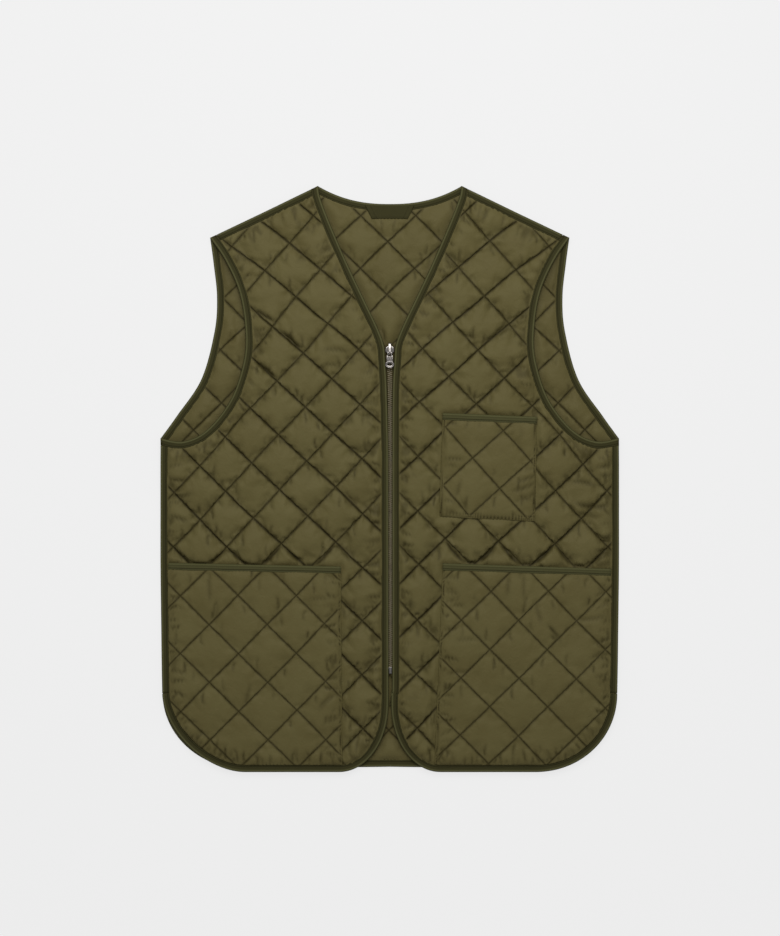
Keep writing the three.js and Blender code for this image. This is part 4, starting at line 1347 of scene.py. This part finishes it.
for key, node, seed in [
    ("chest", "chest_pocket_binding", 120),
    ("left", "lower_pocket_binding_left", 123),
    ("right", "lower_pocket_binding_right", 126),
]:
    line = mouth_of(key)
    if key != "chest":
        outer = 1 if key == "right" else 0
        limit = (VENT[0] + 1.5 - INSIDE_TAPE) * np.sign(line[outer, 0])
        reach = (limit - line[1 - outer, 0]) / (line[outer, 0] - line[1 - outer, 0])
        line[outer] = mix(line[1 - outer], line[outer], reach)
    sides = mouth_side(FRONT_UNDER[key], 0.0), mouth_side(FRONT_UNDER[key], MOUTH_TAPE_HEIGHT)
    tapes.append(bound_edge(node.replace("binding", "tape"), node, line, *sides, seed, pale=0.5))
print(len(tapes), "tapes in all")

# %% [markdown]
# The loop that the vest hangs by is the same tape folded double. It lies flat under the back neck, its two
# ends folded over on the slant and caught in the neck's binding.

# %% The hanger loop


def hanger_loop():
    """A flat body over a trapezoid: s runs across from -1 to 1 and t from the bottom to the top. Its edges
    are rounded over 1 mm, and a fold line crosses each slanted end."""
    s, t = np.meshgrid(np.linspace(-1, 1, 71), np.linspace(0, 1, 25), indexing="ij")
    half = mix(LOOP["lower"], LOOP["upper"], t)
    x, y = s * half, mix(LOOP["bottom"], LOOP["top"], t)
    to_side = (half - np.abs(x)) * 0.9
    to_edge = np.minimum(to_side, np.minimum(y - LOOP["bottom"], LOOP["top"] - y))
    fold = smooth((to_side - 5.5) / 0.8)
    thick = (0.5 + 0.5 * (1 - 0.35 * fold)) * rounded(to_edge)
    stitch = bell(y - LOOP["bottom"] - 1.8, 0.4)
    middle = BACK_TOP + LOOP["bed"] + 0.9 + 0.15 * noise(x, y, 17, 130)
    upper = np.stack([x, y, middle + thick - 0.25 * stitch * (to_edge > 0.5)], -1)
    lower = np.stack([x, y, middle - 0.55 * rounded(to_edge)], -1)
    faces = grid_faces(*s.shape)
    count = s.size
    # painted shade along the stitch line and across the two fold lines
    groove = np.concatenate([(stitch * 0.8 + (to_side > 5) * (to_side < 6) * 0.6).ravel(), np.zeros(count)])
    attributes = {"along": np.tile(x.ravel(), 2), "ridge": np.zeros(2 * count), "groove": groove}
    all_faces = both_sides(faces, rim_of(faces), count)
    made = add_piece("hanger_loop_tape", np.stack([upper, lower]), all_faces, attributes)
    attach(made, "vest")
    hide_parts("hanger_loop")
    return made


tapes.append(hanger_loop())

# %% [markdown]
# ## The zip
# Two woven tapes, a chain of cast teeth that lock into each other's gaps, a slider with its bridge, and the
# pull tab that hangs on the bridge. One tooth is drawn once and repeated.

# %% Zip tapes
ZIP = {"top": 163.0, "bottom": -245.0, "inner": 3.3, "outer": 15.5, "thick": 0.7, "level": 3.85}
# x and height of the tape's upper side: a cord in the inner edge, and flat web
ZIP_TAPE_TOP = [
    (3.35, -0.25), (3.5, 0.1), (4.1, 0.25), (4.8, 0.12), (5.4, -0.05), (9.0, -0.02), (15.2, -0.02),
    (15.5, -0.2),
]


def zip_middle(y):
    """The closed chain lies a little to the left of the vest's middle, below the slider."""
    return 0.9 * smooth((150 - y) / 100)


def zip_tape(name):
    """A thin woven strip: its section, the row of heights above and a flat line below, runs along y."""
    sign = 1 if name == "left" else -1
    under = [(x, -ZIP["thick"]) for x, _ in ZIP_TAPE_TOP[::-1]]
    section = np.array(ZIP_TAPE_TOP + under)
    y = resampled([[ZIP["bottom"], 0], [ZIP["top"], 0]], 4)[:, 0]
    points = np.empty((len(y), len(section), 3))
    points[..., 0] = sign * section[:, 0] + (zip_middle(y) + 0.12 * noise(y, 0, 31, 70))[:, None]
    points[..., 1] = y[:, None]
    points[..., 2] = ZIP["level"] + section[:, 1]
    half = len(ZIP_TAPE_TOP)
    cap = np.array([(k, k + 1, 2 * half - 2 - k, 2 * half - 1 - k) for k in range(half - 1)])
    end = (len(y) - 1) * len(section)
    faces = np.vstack([tube_faces(len(y), len(section)), cap, cap[:, ::-1] + end])
    attributes = {"along": np.repeat(y, len(section)), "across": np.tile(section[:, 0], len(y))}
    made = add_piece(f"zip_tape_woven_{name}", points, faces, attributes, outwards=True)
    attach(made, "vest")
    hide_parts(f"zip_tape_{name}")
    return made


zip_tapes = [zip_tape("left"), zip_tape("right")]

# %% Zip teeth
TEETH = {"from": -229.4, "to": 152.4, "pitch": 2.54, "floor": 2.95, "top": 4.75}
# x and y of one tooth seen from above: jaws that clamp the cord, a waist, and a head past the middle
TOOTH_PLAN = np.array(
    [(3.0, -0.58), (1.9, -0.58), (1.2, -0.32), (0.2, -0.42), (-0.75, -0.36)]
    + [(-0.75, 0.36), (0.2, 0.42), (1.2, 0.32), (1.9, 0.58), (3.0, 0.58)]
)
# how wide each ring of the tooth is, and how high it lies
TOOTH_RINGS = [(1.0, 0.0), (1.0, 0.55), (0.9, 0.85), (0.6, 1.0)]


def one_tooth():
    """Rings of the plan, drawn in towards its middle as they rise, closed by quads below and above."""
    middle = np.array([1.1, 0.0])
    height = TEETH["top"] - TEETH["floor"]
    rings = []
    for k, z in TOOTH_RINGS:
        plan = middle + (TOOTH_PLAN - middle) * [mix(1, k, 0.6), k]
        rings.append(np.column_stack([plan, np.full(len(plan), TEETH["floor"] + height * z)]))
    around = len(TOOTH_PLAN)
    floor = [(k, k + 1, around - 2 - k, around - 1 - k) for k in range(around // 2 - 1)]
    crown = np.array(floor)[:, ::-1] + (len(rings) - 1) * around
    return np.stack(rings), np.vstack([tube_faces(len(rings), around), floor, crown])


def zip_chain(name):
    """Copies the tooth along the chain; the left side's teeth lie half a pitch further on."""
    points, shape = one_tooth()
    sign = 1 if name == "left" else -1
    places = np.arange(TEETH["from"] + (TEETH["pitch"] / 2 if sign > 0 else 0), TEETH["to"], TEETH["pitch"])
    rng = np.random.default_rng(80 + sign)
    many = np.repeat(points.reshape(1, -1, 3), len(places), 0)
    shift = zip_middle(places) + rng.uniform(-0.05, 0.05, len(places))
    many[..., 0] = sign * many[..., 0] + shift[:, None]
    many[..., 1] += places[:, None]
    many[..., 2] += rng.uniform(-0.04, 0.04, len(places))[:, None]
    faces = (shape + many.shape[1] * np.arange(len(places))[:, None, None]).reshape(-1, 4)
    made = add_piece(f"zip_chain_{name}", many, faces, outwards=True)
    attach(made, "vest")
    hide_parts(f"zip_teeth_{name}")
    print(made.name, len(places), "teeth")
    return made


chains = [zip_chain("left"), zip_chain("right")]

# %% [markdown]
# The slider, its pull and the end box are cast and plated metal. Each part is drawn as a flat outline,
# raised to its thickness and given rounded edges by a bevel. The parts of one casting are then
# joined into a single mesh.

# %% Cast metal


def plate(outline, low, high, holes=(), bevel=0.35, segments=3, seat=None):
    """A flat outline raised from one level to another, with holes, its edges rounded by a bevel. Returns
    the finished mesh, in millimetres."""
    work = bmesh.new()
    edges = []
    for loop in [outline, *holes]:
        ring = [work.verts.new((px, py, low)) for px, py in np.asarray(loop, float)]
        edges += [work.edges.new((ring[k - 1], ring[k])) for k in range(len(ring))]
    filled = bmesh.ops.triangle_fill(work, edges=edges, use_beauty=True)["geom"]
    faces = [item for item in filled if isinstance(item, bmesh.types.BMFace)]
    raised = bmesh.ops.extrude_face_region(work, geom=faces)["geom"]
    tops = [item for item in raised if isinstance(item, bmesh.types.BMVert)]
    bmesh.ops.translate(work, verts=tops, vec=(0, 0, high - low))
    bmesh.ops.recalc_face_normals(work, faces=work.faces)
    sharp = [edge for edge in work.edges if edge.calc_face_angle(0) > 0.6]
    bmesh.ops.bevel(
        work, geom=sharp, offset=bevel, segments=segments, profile=0.5, affect="EDGES", clamp_overlap=True
    )
    if seat is not None:
        bmesh.ops.transform(work, matrix=seat, verts=work.verts)
    mesh = bpy.data.meshes.new("plate")
    work.to_mesh(mesh)
    work.free()
    return mesh


def casting(name, node, body, plates):
    """Joins the plates of one casting and puts them in place of a node."""
    work = bmesh.new()
    for mesh in plates:
        work.from_mesh(mesh)
    bmesh.ops.scale(work, vec=(MM, MM, MM), verts=work.verts)
    mesh = bpy.data.meshes.new(name)
    work.to_mesh(mesh)
    work.free()
    made = link_mesh(name, mesh)
    mesh.set_sharp_from_angle(angle=np.radians(40))
    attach(made, body)
    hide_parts(node)
    return made


def arc(centre, radius, start, end, count):
    turn = np.radians(np.linspace(start, end, count))
    return np.stack([centre[0] + radius * np.cos(turn), centre[1] + radius * np.sin(turn)], -1)


def rectangle(half, bottom, top):
    return np.array([(-half, bottom), (half, bottom), (half, top), (-half, top)])


SLIDER = {"y": 157.5, "floor": 4.7, "thick": 3.0, "wing": 0.9, "bridge": 2.8}
half_slider = np.array(
    [(2.4, -3.6), (4.3, -3.2), (5.2, -1.9), (5.4, 0.4), (4.9, 2.6), (3.6, 4.1), (1.5, 5.2), (1.4, 8.8)]
)
low, high = SLIDER["floor"], SLIDER["floor"] + SLIDER["thick"]
slider_outline = np.vstack([half_slider, mirrored(half_slider)]) + [0, SLIDER["y"]]
flange = np.vstack([half_slider[1:5], half_slider[1:5][::-1] - [0.8, 0]]) + [0, SLIDER["y"]]
nose = arc((0, SLIDER["y"] + 6.0), 1.5, 0, 330, 12)
# y and z of the bridge's outer line, from the tail over the top to the nose
BRIDGE_ROWS = [
    (-4.2, 2.6), (-5.7, 4.0), (-5.9, 5.9), (-4.6, 6.95), (0, 6.85), (4.5, 6.5), (7.8, 5.5), (8.9, 3.8),
    (8.4, 2.7),
]
bridge_top = curve_through(BRIDGE_ROWS, 0.8)
bridge_band = np.vstack([bridge_top, offset(bridge_top, -1.0)[::-1]])
# the band is drawn lying down: its x becomes y, its y becomes z and its height becomes x
upright = Matrix(((0, 0, 1, 0), (1, 0, 0, SLIDER["y"]), (0, 1, 0, SLIDER["floor"]), (0, 0, 0, 1)))
half_bridge = SLIDER["bridge"] / 2
between_wings = (low + SLIDER["wing"] - 0.1, high - SLIDER["wing"] + 0.1)
slider = casting(
    "zip_slider_cast",
    "zip_slider",
    "vest",
    [
        plate(slider_outline, low, low + SLIDER["wing"], bevel=0.2),
        plate(slider_outline, high - 1.7, high, bevel=0.8, segments=5),
        *[plate(part, *between_wings, bevel=0.1, segments=1) for part in (flange, mirrored(flange), nose)],
        plate(bridge_band, -half_bridge, half_bridge, bevel=0.3, seat=upright),
    ],
)

# %% The pull tab and the end box
PULL = {"y": 154.1, "z": 9.5, "thick": 1.3, "arms": 2.7, "blade": 3.8, "bar": 0.7, "end": -14.6}
LOBE = {"wide": 5.5, "long": 4.4, "rim": 1.2, "hole_wide": 2.9, "hole_long": 1.6}
SLOT = {"half": 1.75, "end": -4.6}


def pull_tab():
    """A plate with a slot for the bridge at one end and an oval, rimmed end with an oval hole."""

    def oval(wide, long, start=0, end=352, count=46):
        return arc((0, 0), 1.0, start, end, count) * [wide, long] + [0, PULL["end"]]

    lobe = oval(LOBE["wide"], LOBE["long"], 135, 405, 40)
    bar, arms, blade = PULL["bar"], PULL["arms"], PULL["blade"]
    shoulder_rows = [(blade, SLOT["end"] + 0.4), (arms, SLOT["end"] + 1.6)]
    right = np.array([(blade, PULL["end"] + 4.2), *shoulder_rows, (arms, bar)])
    outline = np.vstack([right, mirrored(right), lobe])
    slot = rectangle(SLOT["half"], -bar, SLOT["end"])
    hole = oval(LOBE["hole_wide"], LOBE["hole_long"], count=28)
    place = Matrix.Translation((0, PULL["y"], PULL["z"]))
    half = PULL["thick"] / 2
    rim = oval(LOBE["wide"] - 0.15, LOBE["long"] - 0.15)
    rim_hole = oval(LOBE["wide"] - LOBE["rim"], LOBE["long"] - LOBE["rim"])
    return [
        plate(outline, -half + 0.15, half - 0.15, holes=[slot, hole], bevel=0.25, seat=place),
        plate(rim, -half, half, holes=[rim_hole], bevel=0.25, seat=place),
    ]


pull = casting("zip_pull_tab", "zip_pull", "pull_tab", pull_tab())
BOX = {"half": 3.0, "bottom": -237.5, "top": -230.0, "floor": 2.9, "thick": 2.3}
half_box = np.array(
    [(BOX["half"] - 1, BOX["bottom"]), (BOX["half"], BOX["bottom"] + 1), (BOX["half"], BOX["top"])]
)
box_middle = [float(zip_middle(BOX["top"])), 0]
box_outline = np.vstack([half_box, mirrored(half_box)]) + box_middle
pin = rectangle(1.1, BOX["bottom"] + 0.8, BOX["top"] + 0.4)
end_box = casting(
    "zip_end_box",
    "zip_box",
    "vest",
    [
        plate(box_outline, BOX["floor"], BOX["floor"] + BOX["thick"] - 0.5, bevel=0.45),
        plate(pin + box_middle, BOX["floor"] + 1.2, BOX["floor"] + BOX["thick"], bevel=0.4),
    ],
)
hardware = [slider, pull, end_box]
print("castings:", [piece.name for piece in hardware])

# %% The thread's pieces
thread_pieces = []
for name in sorted(threads):
    made = thread_mesh(name)
    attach(made, "vest")
    thread_pieces.append(made)

# %% [markdown]
# ## Finishes
# Shader maths reads best as maths. A small class wraps a material's socket, so that an expression on it
# adds the Math nodes, and one method adds any other node: its settings first, then its sockets.

# %% Shader maths in Python


class Wire:
    """An output socket in an expression. Arithmetic on it adds Math nodes to its material."""

    def __init__(self, finish, socket):
        self.finish, self.socket = finish, socket

    def math(self, operation, *values):
        return self.finish.add("ShaderNodeMath", {"operation": operation}, dict(enumerate(values)))

    def __add__(self, other):
        return self.math("ADD", self, other)

    def __mul__(self, other):
        return self.math("MULTIPLY", self, other)

    __radd__ = __add__

    def sine(self):
        return self.math("SINE", self)


class Finish:
    """A material that is built one node at a time."""

    def __init__(self, name):
        self.material = bpy.data.materials.new(name)
        self.material.use_nodes = True
        self.tree = self.material.node_tree
        self.tree.nodes.clear()

    def add(self, kind, settings=None, inputs=None, output=0):
        """Adds a node, makes its settings, then gives each named or numbered socket a value or a link."""
        node = self.tree.nodes.new(kind)
        for key, value in (settings or {}).items():
            setattr(node, key, value)
        for key, value in (inputs or {}).items():
            if isinstance(value, Wire):
                self.tree.links.new(value.socket, node.inputs[key])
            else:
                node.inputs[key].default_value = value
        return Wire(self, node.outputs[output])

    def place(self):
        return self.add("ShaderNodeTexCoord", output="Object")

    def value_of(self, attribute):
        return self.add("ShaderNodeAttribute", {"attribute_name": attribute}, output="Fac")

    def cloud(self, place, size, detail=2.0, distortion=0.0):
        """Soft noise from 0 to 1 with patches of about the size, in millimetres."""
        inputs = {"Vector": place, "Scale": 1 / (size * MM), "Detail": detail, "Distortion": distortion}
        return self.add("ShaderNodeTexNoise", inputs=inputs)

    def blend(self, share, first, second):
        """Mixes two colours."""
        inputs = {0: share, 6: first, 7: second}
        return self.add("ShaderNodeMix", {"data_type": "RGBA"}, inputs, output=2)

    def bump(self, height, distance, strength=1.0, under=None):
        """Turns a height from 0 to 1 into a bump of the distance, in millimetres, over another bump."""
        inputs = {"Height": height, "Distance": distance * MM, "Strength": strength}
        if under is not None:
            inputs["Normal"] = under
        return self.add("ShaderNodeBump", inputs=inputs)

    def surface(self, **sockets):
        """Ends the material with a Principled surface. Socket names are written with underscores."""
        inputs = {key.replace("_", " "): value for key, value in sockets.items()}
        shaded = self.add("ShaderNodeBsdfPrincipled", inputs=inputs)
        node = self.tree.nodes.new("ShaderNodeOutputMaterial")
        self.tree.links.new(shaded.socket, node.inputs["Surface"])
        return self.material


def give(pieces, material):
    for piece in pieces:
        piece.data.materials.append(material)


def weave(across, along, pitch):
    """Plain weave: sin(across) * sin(along), one wave for each thread of the pitch, in millimetres."""
    turn = 2 * np.pi / pitch
    return (across * turn).sine() * (along * turn).sine() * 0.5 + 0.5


def coordinates(finish):
    """Object coordinates in millimetres, as three numbers."""
    place = finish.place()
    split = finish.add("ShaderNodeSeparateXYZ", inputs={"Vector": place})
    outputs = split.socket.node.outputs
    return place, Wire(finish, outputs[0]) * 1000, Wire(finish, outputs[1]) * 1000


# %% [markdown]
# The shell is nylon taffeta: a close plain weave with a faint crinkle, a weak shine and uneven colour. The
# bottom of each sewn line lies in shade, dark as the thread, and the panels carry how deep.

# %% Olive nylon
NYLON = {
    "light": (0.102, 0.088, 0.034, 1),
    "deep": (0.077, 0.063, 0.0215, 1),
    "shade": (0.015, 0.0115, 0.002, 1),
}


def nylon():
    finish = Finish("olive_nylon")
    place, x, y = coordinates(finish)
    patches = finish.cloud(place, 31, detail=3)
    tone = finish.blend(patches, NYLON["deep"], NYLON["light"])
    colour = finish.blend(finish.value_of("shade"), tone, NYLON["shade"])
    crinkle = finish.cloud(place, 5.5, detail=3, distortion=0.8)
    soft = finish.bump(crinkle, 0.9, strength=0.55)
    woven = finish.bump(weave(x, y, 0.5), 0.05, strength=0.3, under=soft)
    return finish.surface(
        Base_Color=colour,
        Roughness=0.5 + patches * 0.12,
        Normal=woven,
        Specular_IOR_Level=0.12,
        Specular_Tint=(1.0, 0.93, 0.7, 1),
    )


give(panels, nylon())

# %% [markdown]
# The tape is matt green with a fine rib across it. Its rolled edge is lighter, a painted highlight, and its
# stitch line darker, painted shade.

# %% Green tape
GREEN = {
    "light": (0.08, 0.078, 0.031, 1),
    "deep": (0.027, 0.0245, 0.007, 1),
    "shade": (0.014, 0.012, 0.003, 1),
}


def green_tape():
    finish = Finish("green_tape")
    place = finish.place()
    patches = finish.cloud(place, 17, detail=3)
    # painted highlight on the rolled edge with random patches, then painted shade in the stitch line
    lit = finish.value_of("ridge") * 0.85 + patches * 0.15
    tone = finish.blend(lit, GREEN["deep"], GREEN["light"])
    colour = finish.blend(finish.value_of("groove") * 0.7, tone, GREEN["shade"])
    rib = (finish.value_of("along") * (2 * np.pi / 0.85)).sine() * 0.5 + 0.5
    ribbed = finish.bump(rib, 0.12, strength=0.4)
    fuzz = finish.bump(finish.cloud(place, 1.3, detail=2), 0.2, strength=0.3, under=ribbed)
    rough = 0.72 + patches * 0.1
    return finish.surface(Base_Color=colour, Roughness=rough, Normal=fuzz, Specular_IOR_Level=0.1)


give(tapes, green_tape())

# %% Woven zip tape
BROWN = {
    "light": (0.058, 0.048, 0.018, 1),
    "deep": (0.035, 0.029, 0.01, 1),
    "shade": (0.028, 0.024, 0.008, 1),
}


def brown_tape():
    finish = Finish("brown_zip_tape")
    place = finish.place()
    across, along = finish.value_of("across"), finish.value_of("along")
    herringbone = ((along + (across * 2.1).sine() * 0.6) * (2 * np.pi / 0.9)).sine() * 0.5 + 0.5
    tone = finish.blend(finish.cloud(place, 9), BROWN["deep"], BROWN["light"])
    colour = finish.blend(herringbone * 0.25, tone, BROWN["shade"])
    ribbed = finish.bump(herringbone, 0.12, strength=0.5)
    return finish.surface(Base_Color=colour, Roughness=0.8, Normal=ribbed, Specular_IOR_Level=0.1)


give(zip_tapes, brown_tape())

# %% [markdown]
# Two metals: the teeth are brass that was browned in a bath, unevenly. The slider, pull and box are nickel
# plated, with fine scratches that break up the shine.

# %% Metals and thread


def metal(name, light, deep, roughness, scratch):
    finish = Finish(name)
    place = finish.place()
    patches = finish.cloud(place, 2.2, detail=4)
    scratches = finish.cloud(place, 0.5, detail=5, distortion=2)
    colour = finish.blend(patches, deep, light)
    return finish.surface(
        Base_Color=colour,
        Metallic=1.0,
        Roughness=roughness + scratches * scratch,
        Normal=finish.bump(scratches, 0.01, strength=0.4),
    )


BRASS = metal("browned_brass", (0.34, 0.29, 0.19, 1), (0.1, 0.085, 0.055, 1), 0.28, 0.2)
NICKEL = metal("bright_nickel", (0.27, 0.25, 0.235, 1), (0.18, 0.168, 0.156, 1), 0.1, 0.08)


def sewing_thread(name, light, deep):
    finish = Finish(name)
    place = finish.place()
    twist = finish.cloud(place, 0.6, detail=1)
    colour = finish.blend(twist, deep, light)
    bumped = finish.bump(twist, 0.1, strength=0.4)
    return finish.surface(Base_Color=colour, Roughness=0.8, Specular_IOR_Level=0.1, Normal=bumped)


# the olive thread has its own dark olive-brown colour, darkened further to match the painted shade of the
# sewn lines it lies in
OLIVE_THREAD = sewing_thread("olive_thread", (0.022, 0.017, 0.004, 1), (0.012, 0.009, 0.002, 1))
GREEN_THREAD = sewing_thread("green_thread", (0.024, 0.023, 0.007, 1), (0.012, 0.011, 0.003, 1))
give(chains, BRASS)
give(hardware, NICKEL)
for piece in thread_pieces:
    give([piece], GREEN_THREAD if piece.name == "thread_tape" else OLIVE_THREAD)
print("finishes:", [material.name for material in bpy.data.materials])

# %% [markdown]
# ## The studio
# A pale floor that glows, as a backdrop lit from behind does, and white surroundings. One large soft light
# stands above and beyond the neck, so that every square is shaded towards the hem. The camera looks straight
# down through a long lens, as the photograph does.

# %% Floor, light and camera
FLOOR = {"reach": 6.0, "grey": 0.1, "glow": 0.76}
WINDOW = {"place": (0.0, 0.9, 1.45), "aim": (0, 0.02, 0), "size": 1.1, "power": 22}
SURROUNDINGS = 0.5
floor_mesh = bpy.data.meshes.new("floor")
floor_corners = [(x, y, 0) for x, y in rectangle(FLOOR["reach"], -FLOOR["reach"], FLOOR["reach"])]
floor_mesh.from_pydata(floor_corners, [], [(0, 1, 2, 3)])
floor = into_scene("floor", floor_mesh)
grey = (FLOOR["grey"], FLOOR["grey"], FLOOR["grey"], 1)
lit_floor = Finish("lit_floor").surface(
    Base_Color=grey,
    Roughness=1.0,
    Specular_IOR_Level=0.0,
    Emission_Color=(1, 1, 1, 1),
    Emission_Strength=FLOOR["glow"],
)
floor_mesh.materials.append(lit_floor)


def soft_light(name, place, aim, size, power):
    """A square area light that looks from its place to its aim, in metres and watts."""
    light = bpy.data.lights.new(name, "AREA")
    light.shape = "SQUARE"
    light.size = size
    light.energy = power
    made = into_scene(name, light)
    made.location = place
    made.rotation_mode = "QUATERNION"
    made.rotation_quaternion = (Vector(aim) - Vector(place)).to_track_quat("-Z", "Y")


soft_light("window", **WINDOW)
world = bpy.data.worlds.new("studio")
bpy.context.scene.world = world
world.use_nodes = True
background = world.node_tree.nodes["Background"].inputs
background["Color"].default_value = (1, 1, 1, 1)
background["Strength"].default_value = SURROUNDINGS
bpy.context.scene.view_settings.view_transform = "Standard"

PHOTO = {"height_mm": 1141.9, "centre_x": 0.3, "centre_y": 13.4}
LENS = 100.0
SENSOR = 36.0
camera_data = bpy.data.cameras.new("camera")
camera_data.lens = LENS
camera_data.sensor_fit = "VERTICAL"
camera_data.sensor_height = SENSOR
camera = into_scene("camera", camera_data)
height = PHOTO["height_mm"] * MM * LENS / SENSOR + LYING_LEVEL * MM
camera.location = (PHOTO["centre_x"] * MM, PHOTO["centre_y"] * MM, height)
bpy.context.scene.camera = camera
print("camera", round(height, 3), "m above the table")
